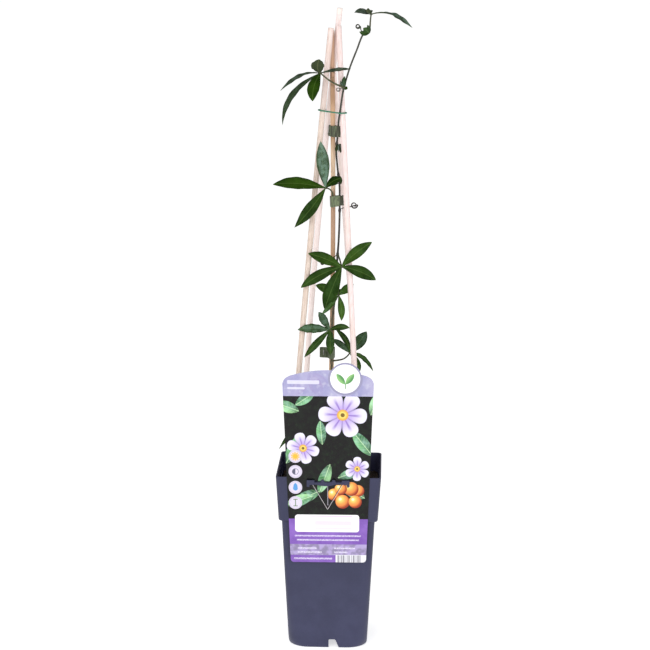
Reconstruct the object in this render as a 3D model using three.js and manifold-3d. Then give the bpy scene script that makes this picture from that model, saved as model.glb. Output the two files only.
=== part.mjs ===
// A young climbing passion flower plant, as a garden centre sells it: a tall square nursery pot
// filled with soil, four pale canes tied together over it, a tan cane in the middle with the vine
// taped to it, and a picture card hung on the pot's collar.
//
// Units are millimetres, +Z is up, the card is on the -Y side and X runs to the right of it.
// Every piece is laid out from the pot's axis at ground level. The last lines move the whole plant
// so that the origin is at the bottom centre of its bounding box.

import * as THREE from 'three';
import { mergeVertices } from 'three/addons/utils/BufferGeometryUtils.js';
import Module from 'manifold-3d';

const wasm = await Module();
wasm.setup();

// ---- driving dimensions -------------------------------------------------------------------------

const GAP = 0.35; // clear space between pieces that touch on the real plant

const POT = {
  height: 190,
  wall: 1.5,
  rimHalf: 55, // half widths, measured outside
  collarFootHalf: 51.9,
  bodyTopHalf: 48.8,
  bodyFootHalf: 41.6,
  collarHeight: 48.6,
  rimCorner: 5, // corner radii
  bodyFootCorner: 14,
  footCorner: 22, // at the ground, where the corners round off
  footCornerHeight: 11,
  floorHeight: 10, // the floor is raised over the feet
  floorThickness: 1.8,
  footLength: 13,
  drainRadius: 4,
  drainOffset: 18,
};
const NOTCH = { left: 1.2, right: 8.2, foot: 12.6, height: 9.4 }; // drain notch in the foot
const SOIL_DEPTH_BELOW_RIM = 20;
// the bar on the front of the rim: two heads on posts, with a strip between them and two knobs
const CLIP = {
  drop: 5, // the heads' middle, below the rim
  headWidth: 8.2,
  headHeight: 8,
  headOffset: 18.2,
  thickness: 2.2,
  postWidth: 3,
  postHeight: 3.2,
  barHeight: 3.8,
  barDrop: 0.6, // the strip's middle, below the heads' middle
  knobRadius: 2,
  knobOffset: 5.8,
  knobRise: 1.4,
};
const CARD = {
  thickness: 0.6,
  bottom: 97, // heights above the ground
  shoulder: 293,
  crown: 306,
  bottomHalf: 39.4,
  shoulderHalf: 47,
  cornerRadius: 4,
  badge: { x: 17.8, z: 297, radius: 16.8 },
  slitLength: 24, // the slit down from the slot that the bar goes through
  lean: 0.062, // radians, the card follows the taper of the collar
  roll: 0.007,
};
const CANE_LENGTH = 600;
const CANE_RADIUS = 3;
const CANE_INWARD = 0.0012; // how the canes lean in with the pot's wall, for each mm off its axis
const STAKE_RADIUS = 2.5; // the tan cane in the middle
const STEM_RADIUS = 1.15;
const STALK = { radius: 0.85, taper: 0.15, middleRadius: 1.3 };
// a leaflet's tip has some width left, and its edges stand up by a share of its half width
const BLADE = { thickness: 0.7, tipHalf: 0.45, fold: 0.22 };
const TENDRIL = { radius: 0.45, turns: 1.3, steps: 10 };
const TIE = { level: 564, radius: 0.75, tilt: 0.13 };
const TAPE = { thickness: 0.6, height: 12 };
const STAPLE = { wire: 0.6, legs: 5, returns: 2 };
const LUMP_HEIGHT = 1.1; // of the soil's top

const POT_BLUE = { color: 0x4a4c64, roughness: 0.5, metalness: 0 };
const SOIL_BROWN = { color: 0x2c211a, roughness: 1, metalness: 0 };
const PALE_WOOD = { color: 0xf3ddcc, roughness: 0.7, metalness: 0 };
const TAN_WOOD = { color: 0xd2a87e, roughness: 0.65, metalness: 0 };
const TIE_GREEN = { color: 0x2e7a5c, roughness: 0.45, metalness: 0 };
const TAPE_GREEN = { color: 0x6e8264, roughness: 0.5, metalness: 0 };
const STAPLE_STEEL = { color: 0xa8a8a8, roughness: 0.35, metalness: 1 };
const STEM_BROWN = { color: 0x3a3530, roughness: 0.6, metalness: 0 };
const LEAF_GREEN = { color: 0x3a6420, roughness: 0.4, metalness: 0 };
const CARD_LILAC = { color: 0x9a7fd0, roughness: 0.3, metalness: 0 };

// ---- solids -------------------------------------------------------------------------------------

const vec = ([x, y, z]) => new THREE.Vector3(x, y, z);

/** A closed geometry as a solid that can be joined and cut. */
function solid(geometry) {
  const bare = geometry.clone();
  bare.deleteAttribute('normal');
  bare.deleteAttribute('uv');
  const welded = mergeVertices(bare, 1e-4);
  return new wasm.Manifold(new wasm.Mesh({
    numProp: 3,
    vertProperties: new Float32Array(welded.attributes.position.array),
    triVerts: new Uint32Array(welded.index.array),
  }));
}

const join = (solids) => solids.reduce((whole, piece) => whole.add(piece));

/** A named mesh of the plant. */
function node(name, shape, finish) {
  const { vertProperties, triVerts } = shape.getMesh();
  const geometry = new THREE.BufferGeometry();
  geometry.setAttribute('position', new THREE.BufferAttribute(vertProperties, 3));
  geometry.setIndex(new THREE.BufferAttribute(triVerts, 1));
  geometry.computeVertexNormals();
  const mesh = new THREE.Mesh(geometry, new THREE.MeshStandardMaterial(finish));
  mesh.name = name;
  return mesh;
}

/** The faces between each ring of points and the next one. */
function skin(rings) {
  const count = rings[0].length;
  const faces = [];
  for (let r = 0; r < rings.length - 1; r += 1) {
    for (let i = 0; i < count; i += 1) {
      const a = r * count + i;
      const b = r * count + ((i + 1) % count);
      faces.push(a, b, b + count, a, b + count, a + count);
    }
  }
  return faces;
}

/** A skin through rings of points, all with as many points, closed by a fan at both ends. */
function loft(rings) {
  const count = rings[0].length;
  const points = rings.flat();
  const faces = skin(rings);
  const addFan = (ring, start, turned) => {
    const middle = ring.reduce((sum, p) => sum.add(p), new THREE.Vector3()).divideScalar(count);
    points.push(middle);
    for (let i = 0; i < count; i += 1) {
      const edge = [start + i, start + ((i + 1) % count)];
      faces.push(points.length - 1, ...(turned ? edge.reverse() : edge));
    }
  };
  addFan(rings[0], 0, true);
  addFan(rings.at(-1), (rings.length - 1) * count, false);
  const geometry = new THREE.BufferGeometry().setFromPoints(points);
  geometry.setIndex(faces);
  return solid(geometry);
}

/** A square ring with round corners, counter-clockwise seen from above. */
function squareRing(half, corner, z, cornerSteps = 4) {
  const ring = [];
  for (let quarter = 0; quarter < 4; quarter += 1) {
    const start = (quarter * Math.PI) / 2;
    const cx = (half - corner) * Math.sign(Math.cos(start + Math.PI / 4));
    const cy = (half - corner) * Math.sign(Math.sin(start + Math.PI / 4));
    for (let i = 0; i <= cornerSteps; i += 1) {
      const angle = start + (i / cornerSteps) * (Math.PI / 2);
      ring.push(new THREE.Vector3(cx + corner * Math.cos(angle), cy + corner * Math.sin(angle), z));
    }
  }
  return ring;
}

/** A round rod along a curve; radiusAt gives its radius from 0, the start, to 1, the end. */
function rod(curve, radiusAt, steps, sides) {
  const frames = curve.computeFrenetFrames(steps, false);
  const rings = [];
  for (let s = 0; s <= steps; s += 1) {
    const centre = curve.getPointAt(s / steps);
    const radius = radiusAt(s / steps);
    const ring = [];
    for (let i = 0; i < sides; i += 1) {
      const angle = (i / sides) * 2 * Math.PI;
      ring.push(centre.clone()
        .addScaledVector(frames.normals[s], radius * Math.cos(angle))
        .addScaledVector(frames.binormals[s], radius * Math.sin(angle)));
    }
    rings.push(ring);
  }
  return loft(rings);
}

/** A round hoop through points that run counter-clockwise round the Z axis. */
function hoop(points, radius, sides) {
  const rings = points.map((point, i) => {
    const ahead = points[(i + 1) % points.length].clone().sub(points.at(i - 1));
    const outward = new THREE.Vector3(ahead.y, -ahead.x, 0).normalize();
    return Array.from({ length: sides }, (_, k) => {
      const angle = (k / sides) * 2 * Math.PI;
      return point.clone().addScaledVector(outward, radius * Math.cos(angle))
        .add(new THREE.Vector3(0, 0, -radius * Math.sin(angle)));
    });
  });
  rings.push(rings[0]);
  const geometry = new THREE.BufferGeometry().setFromPoints(rings.flat());
  geometry.setIndex(skin(rings));
  return solid(geometry);
}

const spline = (points) => new THREE.CatmullRomCurve3(points.map(vec), false, 'centripetal');

function box(size, centre) {
  return solid(new THREE.BoxGeometry(...size).translate(...centre));
}

function ball(centre, radius) {
  return solid(new THREE.IcosahedronGeometry(radius, 0).translate(...centre));
}

/** The tight outline round several circles, as a string would lie, grown by some distance. */
function outlineRound(circles, grow, steps) {
  const outline = [];
  for (let i = 0; i < steps; i += 1) {
    const angle = (i / steps) * 2 * Math.PI;
    const [dx, dy] = [Math.cos(angle), Math.sin(angle)];
    const reach = ({ x, y, radius }) => x * dx + y * dy + radius;
    const far = circles.reduce((best, circle) => (reach(circle) > reach(best) ? circle : best));
    const r = far.radius + grow;
    outline.push(new THREE.Vector2(far.x + r * dx, far.y + r * dy));
  }
  return outline;
}

// ---- pot ----------------------------------------------------------------------------------------

/** The outside half width of the pot's body at a height. */
function bodyHalf(z) {
  const ledge = POT.height - POT.collarHeight;
  return THREE.MathUtils.lerp(POT.bodyFootHalf, POT.bodyTopHalf, z / ledge);
}

/** The radius of the pot's corners at a height. They open out quickly at the ground. */
function cornerAt(z) {
  const slow = THREE.MathUtils.lerp(POT.bodyFootCorner, POT.rimCorner, z / POT.height);
  const nearGround = THREE.MathUtils.clamp(1 - z / POT.footCornerHeight, 0, 1);
  return slow + (POT.footCorner - POT.bodyFootCorner) * nearGround ** 2;
}

/** The rings of the body's foot from a height up, in from its outside by an inset. */
function footRings(bottom, top, inset) {
  const heights = [bottom, 3, 7, top].filter((z) => z === bottom || (z > bottom && z <= top));
  return heights.map((z) => squareRing(bodyHalf(z) - inset, cornerAt(z) - inset, z));
}

/** A solid that fills the pot up to a height, in from its outside by an inset. */
function potFilling(bottom, top, inset, ledgeDrop) {
  const ledge = POT.height - POT.collarHeight - ledgeDrop;
  const collarSlope = (POT.rimHalf - POT.collarFootHalf) / POT.collarHeight;
  const collarHalf = (z) => POT.collarFootHalf + (z - ledge) * collarSlope - inset;
  const cornerIn = (z) => Math.max(cornerAt(z) - inset, 1);
  return [
    ...footRings(bottom, POT.footCornerHeight, inset),
    squareRing(POT.bodyTopHalf - inset, cornerIn(ledge), ledge),
    squareRing(collarHalf(ledge), cornerIn(ledge), ledge + 0.4),
    squareRing(collarHalf(top), cornerIn(top), top),
  ];
}

/** The bar that holds the card: two heads on posts, joined by a strip with two knobs. */
function labelClip() {
  const inWall = -POT.rimHalf + 1.5;
  const front = -POT.rimHalf - 0.5 - CARD.thickness - 2 * GAP - CLIP.thickness;
  const depthMiddle = front + CLIP.thickness / 2;
  const middle = POT.height - CLIP.drop;
  const { postWidth, postHeight, knobRadius, knobOffset, knobRise } = CLIP;
  const pieces = [];
  for (const side of [-1, 1]) {
    const x = side * CLIP.headOffset;
    pieces.push(box([CLIP.headWidth, CLIP.thickness, CLIP.headHeight], [x, depthMiddle, middle]));
    pieces.push(box([postWidth, inWall - front, postHeight],
      [x, (inWall + front) / 2, middle - CLIP.barDrop]));
    pieces.push(solid(new THREE.CylinderGeometry(knobRadius, knobRadius, CLIP.thickness, 16)
      .translate(side * knobOffset, depthMiddle, middle + knobRise)));
  }
  pieces.push(box([2 * CLIP.headOffset, CLIP.thickness * 0.8, CLIP.barHeight],
    [0, depthMiddle, middle - CLIP.barDrop]));
  return join(pieces);
}

/** The notches between the pot's feet, cut through all four walls. */
function drainNotches() {
  const shape = new THREE.Shape([
    new THREE.Vector2(NOTCH.left, -1),
    new THREE.Vector2(NOTCH.foot, -1),
    new THREE.Vector2(NOTCH.right, NOTCH.height),
    new THREE.Vector2(NOTCH.left, NOTCH.height),
  ]);
  const length = 2.4 * POT.bodyTopHalf;
  const cut = new THREE.ExtrudeGeometry(shape, { depth: length, bevelEnabled: false });
  cut.translate(0, 0, -length / 2).rotateX(Math.PI / 2);
  return join([solid(cut), solid(cut.clone().rotateZ(Math.PI / 2))]);
}

function pot() {
  const { wall, height, floorHeight, floorThickness, footLength } = POT;
  const outside = loft(potFilling(0, height, 0, 0));
  const floorTop = floorHeight + floorThickness;
  const inside = loft(potFilling(floorTop, height + 1, wall, -wall));
  const under = loft([
    squareRing(bodyHalf(0) - wall, cornerAt(0) - wall, -1),
    ...footRings(0, floorHeight, wall),
  ]);
  const cross = 2 * (bodyHalf(0) - footLength);
  const wide = 3 * POT.rimHalf;
  const underCross = join([
    box([cross, wide, 4 * floorHeight], [0, 0, 0]),
    box([wide, cross, 4 * floorHeight], [0, 0, 0]),
  ]);
  const holes = [[0, 0], [1, 1], [1, -1], [-1, 1], [-1, -1]].map(([sx, sy]) => solid(
    new THREE.CylinderGeometry(POT.drainRadius, POT.drainRadius, 8 * floorThickness, 20)
      .rotateX(Math.PI / 2)
      .translate(sx * POT.drainOffset, sy * POT.drainOffset, floorHeight),
  ));
  return outside
    .subtract(inside)
    .subtract(under.intersect(underCross))
    .subtract(drainNotches())
    .subtract(join(holes))
    .add(labelClip());
}

// ---- canes --------------------------------------------------------------------------------------

// Each cane goes through three points: in the soil, half way up, where it starts to bend in, and
// its cut top. A cane is as long below its first point as its full length needs.
const CANES = {
  cane_front_left: [[-41.5, -38, 172], [-24, -23.5, 400], [-2.1, -6.7, 650]],
  cane_back_left: [[-33, 37, 172], [-18.6, 21.5, 400], [6.7, 3.3, 670]],
  cane_front_right: [[33, -38, 172], [19.2, -21.2, 410], [5.6, -2.2, 652]],
  cane_back_right: [[31, 37.5, 172], [17.5, 25.5, 400], [-3.2, 12, 640]],
  cane_centre: [[-1.4, 0.3, 172], [1.4, 0.5, 440], [-1.5, 1, 648]],
};

const caneRadius = (name) => (name === 'cane_centre' ? STAKE_RADIUS : CANE_RADIUS);

/** The curve of a cane, which goes on into the soil along the pot's wall to its full length. */
function caneCurve(name) {
  const [low, middle, top] = CANES[name].map(vec);
  // a parabola through the three points: its control point puts the curve through the middle one
  const t = (middle.z - low.z) / (top.z - low.z);
  const control = middle.clone()
    .addScaledVector(low, -((1 - t) ** 2))
    .addScaledVector(top, -(t ** 2))
    .divideScalar(2 * t * (1 - t));
  const above = new THREE.QuadraticBezierCurve3(low, control, top);
  const down = new THREE.Vector3(-low.x * CANE_INWARD, -low.y * CANE_INWARD, -1);
  const foot = low.clone().addScaledVector(down, CANE_LENGTH - above.getLength());
  const points = above.getSpacedPoints(6);
  return new THREE.CatmullRomCurve3([foot, low.clone().lerp(foot, 0.5), ...points]);
}

function cane(name, grow) {
  return rod(caneCurve(name), () => caneRadius(name) + grow, 9, 10);
}

/** Where a curve passes a height, as a circle with the radius of what follows the curve. */
function circleAt(curve, z, radius) {
  let [low, high] = [0, 1];
  for (let i = 0; i < 30; i += 1) {
    const half = (low + high) / 2;
    if (curve.getPointAt(half).z < z) low = half;
    else high = half;
  }
  const { x, y } = curve.getPointAt(low);
  return { x, y, radius };
}

// ---- vine ---------------------------------------------------------------------------------------

const STEM_PATH = spline([
  [4.5, -7, 112], [4.5, -7, 172], [2.6, -6.6, 240], [1.2, -6.2, 302], [1.3, -6.2, 325],
  [1.8, -6.2, 350], [4.8, -6.4, 376], [5.6, -6.2, 392], [6.1, -6, 410], [7.4, -5.6, 430],
  [8.2, -5.2, 455], [8.2, -5.2, 474], [7.8, -5.2, 490], [5.6, -5.2, 508], [4.3, -5.2, 525],
  [5.4, -5.6, 540], [6.2, -8, 550], [6.8, -11, 558], [8, -13.2, 566], [10.6, -14.4, 584],
  [12.4, -15, 592], [17.6, -16, 610], [24.5, -16.2, 628], [31, -16, 644], [36.2, -15.4, 648.5],
]);

// The heights at which a leaf leaves the stem, each with a small swelling.
const STEM_NODES = [240, 302.5, 331, 385, 417, 463, 500, 532, 590, 647.5];

function stemTube(grow) {
  const taper = (t) => STEM_RADIUS * (1.15 - 0.35 * t) + grow;
  const swellings = STEM_NODES.map((z) => {
    const { x, y } = circleAt(STEM_PATH, z, 0);
    return ball([x, y, z], 1.75 + grow);
  });
  return join([rod(STEM_PATH, taper, 46, 6), ...swellings]);
}

/**
 * One leaflet: a pointed blade from a place to a tip, folded a little along its rib. up is the
 * side that its face looks to, tipUp the same at the tip where the blade turns, and bow is how
 * far the middle of the rib lies off the straight line.
 */
function blade(from, { to, wide, up, tipUp = up, bow = [0, 0, 0] }, stations = 8) {
  const start = vec(from);
  const end = start.clone().add(vec(to));
  const control = start.clone().lerp(end, 0.5).addScaledVector(vec(bow), 2);
  const rib = new THREE.QuadraticBezierCurve3(start, control, end);
  const rings = [];
  for (let s = 0; s <= stations; s += 1) {
    const t = s / stations;
    const along = rib.getTangent(t);
    const facing = vec(up).lerp(vec(tipUp), t);
    const side = new THREE.Vector3().crossVectors(along, facing).normalize();
    const normal = new THREE.Vector3().crossVectors(side, along).normalize();
    // widest a little below the middle
    const half = BLADE.tipHalf + (wide / 2) * Math.sin(Math.PI * t ** 1.15) ** 1.1;
    const edge = BLADE.fold * half;
    const at = (across, lift) => rib.getPoint(t)
      .addScaledVector(side, across).addScaledVector(normal, lift);
    rings.push([
      at(-half, edge), at(0, 0), at(half, edge),
      at(half, edge - BLADE.thickness), at(0, -BLADE.thickness), at(-half, edge - BLADE.thickness),
    ]);
  }
  return loft(rings);
}

const FRONT = [0, -1, 0.25]; // the face looks to the card's side, and up a little
const SKY = [0, -0.15, 1];
const TILTED = [0, -0.65, 0.75]; // half way between the two

// Every leaf has its own stalk, from the stem through some points to the middle of the leaf, and
// five leaflets. The tips are given from the middle of the leaf.
const LEAVES = {
  leaf_1: {
    stalk: [[36.2, -15.4, 647.5], [37, -14.6, 656], [38.3, -14, 665]],
    leaflets: [
      {
        to: [42.4, 5, -14.4],
        wide: 8,
        up: [0, 0.35, 1],
        tipUp: [0.3, -0.8, 0.5],
        bow: [0, 0, 6.5],
      },
      { to: [-15.3, -25, 1.4], wide: 7.5, up: TILTED, bow: [0, 0, 3] },
      { to: [-10.6, 26, 0], wide: 7, up: SKY, bow: [0, 0, 3] },
      { to: [-9, -30, 1], wide: 7, up: TILTED, bow: [0, 0, 2.5] },
      { to: [-4, 28, 1.5], wide: 6.5, up: SKY, bow: [0, 0, 2] },
    ],
  },
  leaf_2: {
    stalk: [[12.4, -15, 590], [2.4, -22, 594.5], [-4.6, -25, 599], [-11.8, -27, 605]],
    leaflets: [
      { to: [-1.8, -24, 14.5], wide: 12.5, up: [0, 0.5, 1], bow: [-0.8, 0, 0] },
      { to: [-7, -17, -27.4], wide: 12.5, up: [-0.1, -0.9, 0.45], bow: [-2.4, -2.5, 1] },
      { to: [-40.8, -3, -18.3], wide: 7, up: [-0.4, -0.1, 1], tipUp: [-0.4, -0.8, 0.6], bow: [0, 0, 6] },
      { to: [-37.9, -8, -52.6], wide: 10, up: [-0.7, -0.68, 0.5], bow: [-8.5, 0, 4] },
      { to: [29.2, 0, 4.9], wide: 5.5, up: [0, -0.6, 0.8], bow: [0, -1, -0.8] },
    ],
  },
  leaf_3: {
    stalk: [
      [7.9, -5.2, 474], [4.2, -7.2, 474.5], [1.4, -7.4, 476.5], [0.6, -7.6, 481],
      [-0.8, -12, 484.5], [-3, -20, 487], [-5.8, -28, 488.5],
    ],
    leaflets: [
      { to: [-5.5, 2, 47.6], wide: 13, up: [0.1, -0.9, 0.45], bow: [-0.6, -2, 0] },
      { to: [-53.9, -5, 3.5], wide: 12.5, up: [0.1, -0.85, 0.5], bow: [0, -1, 4] },
      { to: [-31.6, -6, -40.5], wide: 12, up: FRONT, bow: [1.5, -3, 0] },
      { to: [11.4, 15, 8.5], wide: 7.5, up: [0.3, -0.8, 0.5], bow: [0, 0, 2] },
      { to: [15.8, 13, -0.5], wide: 6.5, up: [0.2, -0.75, 0.6], bow: [0, 0, 3] },
    ],
  },
  leaf_4: {
    stalk: [[6.6, -5.8, 417], [9, -15, 413], [11.3, -26, 407]],
    leaflets: [
      { to: [31.2, -2, 26.3], wide: 11.5, up: FRONT, bow: [-1.5, 0, 1] },
      { to: [35.6, -4, -12.9], wide: 12, up: FRONT, bow: [1, -1, 2] },
      { to: [-16.6, 2, -41], wide: 15, up: FRONT, bow: [-1, -2, 0] },
      { to: [-41.8, -6, -21.6], wide: 11, up: FRONT, bow: [-1, -1.5, 2.6] },
      { to: [-34.5, -4, 14.1], wide: 11.5, up: FRONT, bow: [1, -1, 1.2] },
    ],
  },
  leaf_5: {
    stalk: [[5.4, -6.3, 385], [7.2, -14, 381], [8.3, -21, 376.5]],
    leaflets: [
      { to: [15, 13, 12.5], wide: 7.5, up: FRONT, bow: [-0.5, 0, 1] },
      { to: [3.2, -3, -26.7], wide: 7, up: FRONT, bow: [1.4, 0, 0] },
      { to: [-16.4, -14, -20.3], wide: 5.5, up: [-0.3, -0.9, 0.3], bow: [0, 0, -1] },
      { to: [-24, 7, 8.6], wide: 8, up: FRONT, bow: [0, 0, 2] },
      { to: [7, 16, 4], wide: 6, up: SKY, bow: [0, 0, 1.5] },
    ],
  },
  leaf_6: {
    stalk: [[1.4, -6.2, 331], [0.8, -14, 334], [-0.3, -22, 340]],
    leaflets: [
      { to: [-11.2, -9, 19.4], wide: 8, up: [0.2, -0.85, 0.45], bow: [-1, 0, 1] },
      { to: [-32.9, -14, 1], wide: 9, up: TILTED, bow: [0, 0, 1.5] },
      { to: [-26.4, -9, -28.1], wide: 7, up: FRONT, bow: [0, -1, 1] },
      { to: [0.8, -12, -22], wide: 8.5, up: FRONT, bow: [0, -1, 1] },
      { to: [20.6, -9, 3.9], wide: 6.5, up: FRONT, bow: [0, -1, 2] },
    ],
  },
  leaf_7: {
    stalk: [
      [1.2, -6.2, 302.8], [4.4, -6.4, 302.8], [8.6, -6.2, 303.2], [13.6, -5.4, 304.7],
      [17.6, -4.2, 308], [20.2, -3, 312],
    ],
    leaflets: [
      { to: [17, 3, 22.7], wide: 11.5, up: FRONT, bow: [1, 0, 0] },
      { to: [24.7, 2, -18.1], wide: 6, up: [0.5, -0.6, 0.7], bow: [1, 0, 4.5] },
      { to: [11, -2, -19], wide: 6.5, up: FRONT, bow: [1.5, 0, 0.5] },
      { to: [-15.6, 7, 24.4], wide: 5.6, up: FRONT, bow: [3.4, 0, 0.8] },
      { to: [-16.2, 9, 14.2], wide: 5, up: FRONT, bow: [0.4, 0, 1.6] },
    ],
  },
  leaf_8: {
    stalk: [[2.6, -6.6, 240], [-6, -20, 246], [-16, -34, 250], [-22, -41, 250]],
    leaflets: [
      { to: [-29.5, -4, -30.5], wide: 7, up: [-0.5, -0.8, 0.5], bow: [-2, 0, 5] },
      { to: [-24, 0, 6], wide: 8, up: [0, -0.8, 0.6], bow: [0, 0, 2] },
      { to: [-8, -4, -34], wide: 9, up: FRONT, bow: [0, -1, 0] },
      { to: [16, -3, -28], wide: 8, up: FRONT, bow: [1, -1, 1] },
      { to: [-6, 0, 24], wide: 8, up: FRONT, bow: [0, -1, 0] },
    ],
  },
};

const stalkRod = ({ stalk }, grow) => (
  rod(spline(stalk), (t) => STALK.radius - STALK.taper * t + grow, 6, 5)
);

function leaf(shape) {
  const middle = shape.stalk.at(-1);
  const blades = shape.leaflets.map((leaflet) => blade(middle, leaflet));
  return join([stalkRod(shape, 0), ball(middle, STALK.middleRadius), ...blades])
    .subtract(stemTube(GAP));
}

// Tendrils coil at their ends. Each is a stretch of points from the stem and then a coil, given
// by its centre and radius, that closes in as it turns.
const TENDRILS = [
  { points: [[32, -16, 645], [29, -16.5, 647.5]], centre: [25, -17, 651.5], radius: 2.6 },
  { points: [[12, -15, 590], [8, -18.5, 589]], centre: [6, -19, 586.6], radius: 2.3 },
  {
    points: [[8.2, -5.2, 463.5], [13, -6.5, 465], [20, -10, 465.5]],
    centre: [24.6, -11, 469.5],
    radius: 3.4,
  },
  {
    points: [[6.8, -5.8, 417], [0, -12, 413], [-6, -16, 410]],
    centre: [-9, -17, 409.2],
    radius: 1.6,
  },
];

function tendril({ points, centre: [x, y, z], radius }) {
  const route = [...points];
  const forward = -1.8; // a coil comes forward by this much in all
  for (let i = 0; i <= TENDRIL.steps; i += 1) {
    const t = i / TENDRIL.steps;
    const angle = t * TENDRIL.turns * 2 * Math.PI;
    const r = radius * (1 - 0.55 * t);
    route.push([x + r * Math.cos(angle), y + forward * t, z - r * Math.sin(angle)]);
  }
  return rod(spline(route), () => TENDRIL.radius, 24, 4);
}

// Young leaves and stipules that sit on the stem itself: at the growing tip, at two leaf joints
// and the curled shoot under the highest tape.
const YOUNG_LEAVES = [
  [[35.5, -16, 646.5], { to: [-9, -1, 0.6], wide: 5.5, up: FRONT, bow: [0, -0.5, -0.8] }],
  [[35.8, -16, 646], { to: [-1.8, -1.5, 9], wide: 6, up: [0.1, -1, 0.1], bow: [0.6, -0.8, 0] }],
  [[13, -15.2, 589.5], { to: [-0.6, -2, 12.5], wide: 5, up: [-0.2, -1, 0.2], bow: [-1, 0, 0] }],
  [[12.4, -15, 590], { to: [3.4, -1.5, -1], wide: 3.6, up: FRONT }],
  [[12, -15, 590], { to: [-6.5, -5, 8], wide: 3.5, up: [0.5, -1, 0.3], bow: [-1.5, 0, -1.5] }],
  [[5.2, -5.4, 532], { to: [4.6, -3, -6], wide: 4.5, up: FRONT, bow: [1.5, -0.5, 1.5] }],
  [[5.2, -5.4, 532], { to: [-1, -3.4, -7.4], wide: 4, up: FRONT, bow: [-1, -1, 1] }],
  [[6.8, -5.2, 500], { to: [3.2, -3, -12], wide: 4, up: [0.5, -1, 0.2], bow: [1.2, 0, 0] }],
];

/** The stem with what grows from it, open where the stalks of the leaves pass. */
function stem() {
  const small = join([
    ...TENDRILS.map(tendril),
    ...YOUNG_LEAVES.map(([from, shape]) => blade(from, shape, 4)),
  ]);
  const stalks = join(Object.values(LEAVES).map((shape) => stalkRod(shape, GAP)));
  const pieces = stemTube(0).add(small.subtract(stalks)).decompose();
  return pieces.reduce((large, piece) => (piece.volume() > large.volume() ? piece : large));
}

// ---- ties ---------------------------------------------------------------------------------------

/** The elastic ring round the outer canes and the stem, a little higher on its left side. */
function tieRing() {
  const { level, radius, tilt } = TIE;
  const outer = Object.keys(CANES).filter((name) => name !== 'cane_centre');
  const circles = outer.map((name) => circleAt(caneCurve(name), level, CANE_RADIUS));
  circles.push(circleAt(STEM_PATH, level, STEM_RADIUS));
  const rise = (x) => tilt * Math.max(0, 4 - x);
  const points = outlineRound(circles, radius + GAP, 30)
    .map(({ x, y }) => new THREE.Vector3(x, y, level + rise(x)));
  return hoop(points, radius, 6);
}

/**
 * A loop of binding tape round the tan cane, the stem and the stalks that pass inside it. Its two
 * ends are pressed together into a flag that points to an angle, and the flag has two holes for
 * the legs of its staple.
 */
function tapeTie({ bottom, flagAngle, flagLength, stalks = [] }) {
  const top = bottom + TAPE.height;
  const stake = caneCurve('cane_centre');
  const circles = [bottom, (bottom + top) / 2, top].flatMap((z) => [
    circleAt(stake, z, STAKE_RADIUS),
    circleAt(STEM_PATH, z, 1.15 * STEM_RADIUS),
  ]).concat(stalks);
  const ring = new THREE.Shape(outlineRound(circles, GAP + TAPE.thickness, 28));
  ring.holes.push(new THREE.Path(outlineRound(circles, GAP, 28)));
  const band = new THREE.ExtrudeGeometry(ring, { depth: TAPE.height, bevelEnabled: false });
  band.translate(0, 0, bottom);
  const root = outlineRound(circles, GAP + 0.2, 360)[Math.round(flagAngle) % 360];
  const place = new THREE.Matrix4().makeRotationZ(THREE.MathUtils.degToRad(flagAngle))
    .setPosition(root.x, root.y, bottom + TAPE.height / 2);
  const put = (size, centre) => solid(
    new THREE.BoxGeometry(...size).translate(...centre).applyMatrix4(place),
  );
  const flag = put([flagLength, 2 * TAPE.thickness, TAPE.height], [flagLength / 2, 0, 0]);
  const { wire, legs, returns } = STAPLE;
  const x = flagLength * 0.55;
  const hole = wire + 2 * GAP;
  const holes = [-1, 1].map((end) => put([hole, 4, hole], [x, 0, (end * legs) / 2]));
  const offset = TAPE.thickness + GAP + wire / 2;
  const staple = join([
    put([wire, wire, legs + wire], [x, offset, 0]),
    ...[-1, 1].map((end) => put([wire, 2 * offset + wire, wire], [x, 0, (end * legs) / 2])),
    ...[-1, 1].map((end) => (
      put([wire, wire, returns], [x, -offset, (end * (legs + wire - returns)) / 2])
    )),
  ]);
  return { tape: join([solid(band), flag]).subtract(join(holes)), staple };
}

const TAPES = {
  low: { bottom: 305, flagAngle: 184, flagLength: 9 },
  middle: { bottom: 467, flagAngle: 35, flagLength: 8, stalks: [{ x: 1, y: -7.5, radius: 1 }] },
  high: { bottom: 539, flagAngle: 142, flagLength: 5 },
};

// ---- soil and card ------------------------------------------------------------------------------

/** The soil fills the pot to its level, with low lumps on top and a hole for each thing in it. */
function soil() {
  const level = POT.height - SOIL_DEPTH_BELOW_RIM;
  const inset = POT.wall + GAP;
  const floorTop = POT.floorHeight + POT.floorThickness + GAP;
  const rings = potFilling(floorTop, level - 2, inset, -inset);
  const edge = rings.at(-1);
  for (const scale of [0.94, 0.8, 0.62, 0.44, 0.26, 0.1]) {
    rings.push(edge.map((corner) => {
      const [x, y] = [corner.x * scale, corner.y * scale];
      const broad = Math.sin(x * 0.31 + 1) * Math.cos(y * 0.27);
      const slanted = 0.6 * Math.sin(x * 0.11 - y * 0.4);
      return new THREE.Vector3(x, y, level + LUMP_HEIGHT * (broad + slanted));
    }));
  }
  // each hole ends in a ball, clear of the foot of what stands in it
  const hole = (shape, curve, radius) => (
    shape.add(ball(curve.getPointAt(0).toArray(), radius + 2 * GAP))
  );
  const holes = Object.keys(CANES).map((name) => (
    hole(cane(name, GAP), caneCurve(name), caneRadius(name))
  ));
  holes.push(hole(stemTube(GAP), STEM_PATH, STEM_RADIUS));
  return loft(rings).subtract(join(holes));
}

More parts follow.
